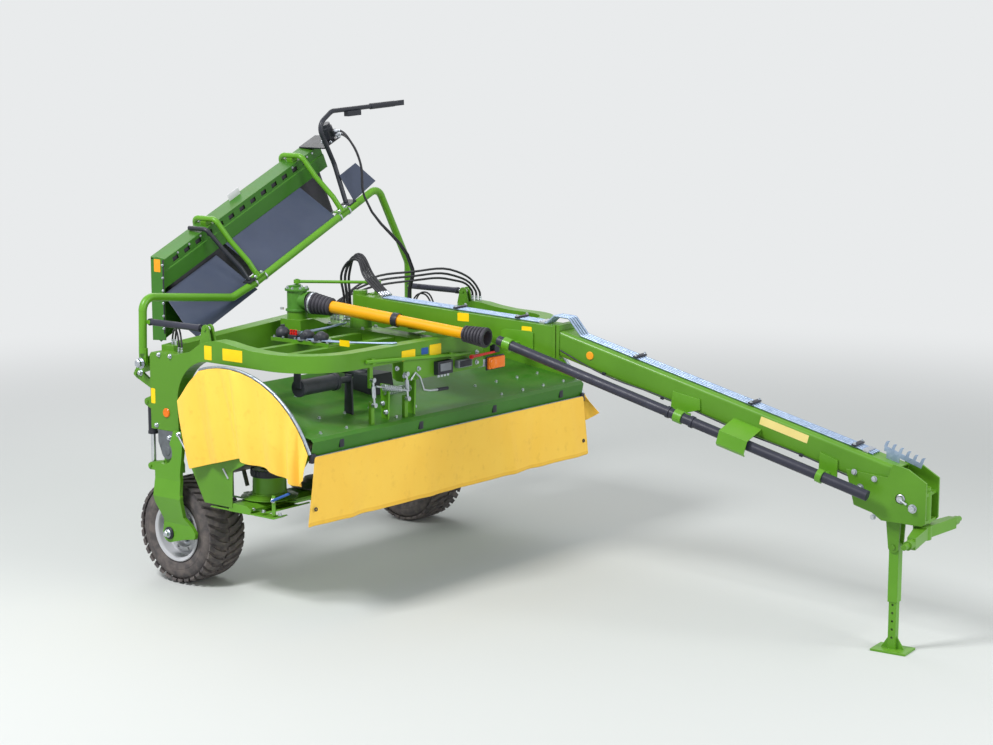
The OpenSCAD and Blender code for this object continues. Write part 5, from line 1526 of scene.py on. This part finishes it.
@dataclass
class Studio:
    """A plain pale floor that runs into a pale backdrop, soft lamps and the camera."""

    lens_mm: float = 72.5
    heading: float = 128.7
    tilt_down: float = 9.27
    standpoint: tuple[float, float, float] = (10741.5, -11071.8, 3893.8)
    backdrop: str = "#e9ebec"
    floor_colour: str = "#cdd0ce"
    sky: str = "#e6e9ec"
    sky_strength: float = 0.56
    fade_m: tuple[float, float] = (4.5, 15.0)
    lamps: tuple[tuple[str, Point, float, float], ...] = (
        ("key_lamp", (-2.0, -7.0, 9.0), 2.4, 900), ("fill_lamp", (8.5, 0.5, 5.5), 5.0, 420),
        ("back_lamp", (-7.0, 3.5, 6.5), 6.0, 200))

    def build(self) -> None:
        """Sets up the camera, the floor, the world and the lamps."""
        bpy.context.scene.view_settings.view_transform = "Standard"
        self.camera()
        self.floor()
        self.world()
        for name, place, size, power in self.lamps:
            self.lamp(name, Vector(place), size, power)

    def add(self, name: str, data: bpy.types.ID) -> bpy.types.Object:
        """Adds an object to the scene.

        Args:
            name: the object's name.
            data: its mesh, lamp or camera data.

        Returns:
            The object.
        """
        made = bpy.data.objects.new(name, data)
        bpy.context.scene.collection.objects.link(made)
        return made

    def floor(self) -> None:
        """Lays the floor, which fades into the backdrop's colour away from the machine."""
        shape = bmesh.new()
        bmesh.ops.create_grid(shape, x_segments=1, y_segments=1, size=60)
        mesh = bpy.data.meshes.new("studio_floor")
        shape.to_mesh(mesh)
        shape.free()
        made = bpy.data.materials.new("pale_floor")
        tree = empty_tree(made)
        near = add_node(tree, "BsdfPrincipled", {"Base Color": linear(self.floor_colour), "Roughness": 0.9})
        far = add_node(tree, "Emission", {"Color": linear(self.backdrop)})
        place = add_node(tree, "TexCoord").outputs["Object"]
        reach = add_node(tree, "VectorMath", {0: place}, operation="LENGTH").outputs["Value"]
        share = add_node(tree, "MapRange", {"Value": reach, "From Min": self.fade_m[0], "From Max": self.fade_m[1]},
                         interpolation_type="SMOOTHSTEP").outputs["Result"]
        both = add_node(tree, "MixShader", {0: share, 1: near.outputs[0], 2: far.outputs[0]})
        add_node(tree, "OutputMaterial", {"Surface": both.outputs[0]})
        mesh.materials.append(made)
        self.add("studio_floor", mesh)

    def world(self) -> None:
        """Lights the scene evenly; the camera and mirror-like surfaces see the backdrop's pale colour."""
        world = bpy.data.worlds.new("studio_sky")
        tree = empty_tree(world)
        rays = add_node(tree, "LightPath").outputs
        seen = rays["Is Camera Ray"]
        for ray in ("Is Glossy Ray", "Is Transmission Ray"):
            seen = add_node(tree, "Math", {0: seen, 1: rays[ray]}, operation="MAXIMUM").outputs[0]
        lit = add_node(tree, "Background", {"Color": linear(self.sky), "Strength": self.sky_strength})
        shown = add_node(tree, "Background", {"Color": linear(self.backdrop), "Strength": 1.0})
        both = add_node(tree, "MixShader", {0: seen, 1: lit.outputs[0], 2: shown.outputs[0]})
        add_node(tree, "OutputWorld", {"Surface": both.outputs[0]})
        bpy.context.scene.world = world

    def lamp(self, name: str, place: Vector, size: float, power: float) -> None:
        """Hangs a large soft lamp that looks at the middle of the machine.

        Args:
            name: the lamp's name.
            place: where it hangs, in metres.
            size: the length of its sides, in metres.
            power: its power in watts.
        """
        light = bpy.data.lights.new(name, "AREA")
        light.size, light.energy = size, power
        self.add(name, light).matrix_world = Matrix.Translation(place) @ turned(place - UP)

    def camera(self) -> None:
        """Stands the camera ahead of the machine, on its right."""
        lens = bpy.data.cameras.new("camera")
        lens.lens, lens.sensor_width, lens.clip_end = self.lens_mm, 36, 200
        camera = self.add("camera", lens)
        camera.location = AXLE @ mm(*self.standpoint)
        camera.rotation_euler = (math.radians(90 - self.tilt_down), 0, math.radians(self.heading - 90))
        bpy.context.scene.camera = camera


def main() -> None:
    """Builds the finish of the mower, one sub-assembly after the other."""
    logging.basicConfig(level=logging.INFO, format="%(asctime)s %(name)s: %(message)s")
    Studio().build()
    Hoses().build()
    dress_cad_nodes()
    LOG.info("finishes on %d CAD nodes", sum(len(names) for names in NODE_FINISH.values()))
    Curtains().build()
    for side in Side:
        Wheel(side).build()
    for trim in (CarrierTrim(), HeaderTrim(), DrawbarTrim(), ShaftTrim(), ConveyorTrim()):
        trim.build()


if __name__ == "__main__":
    main()
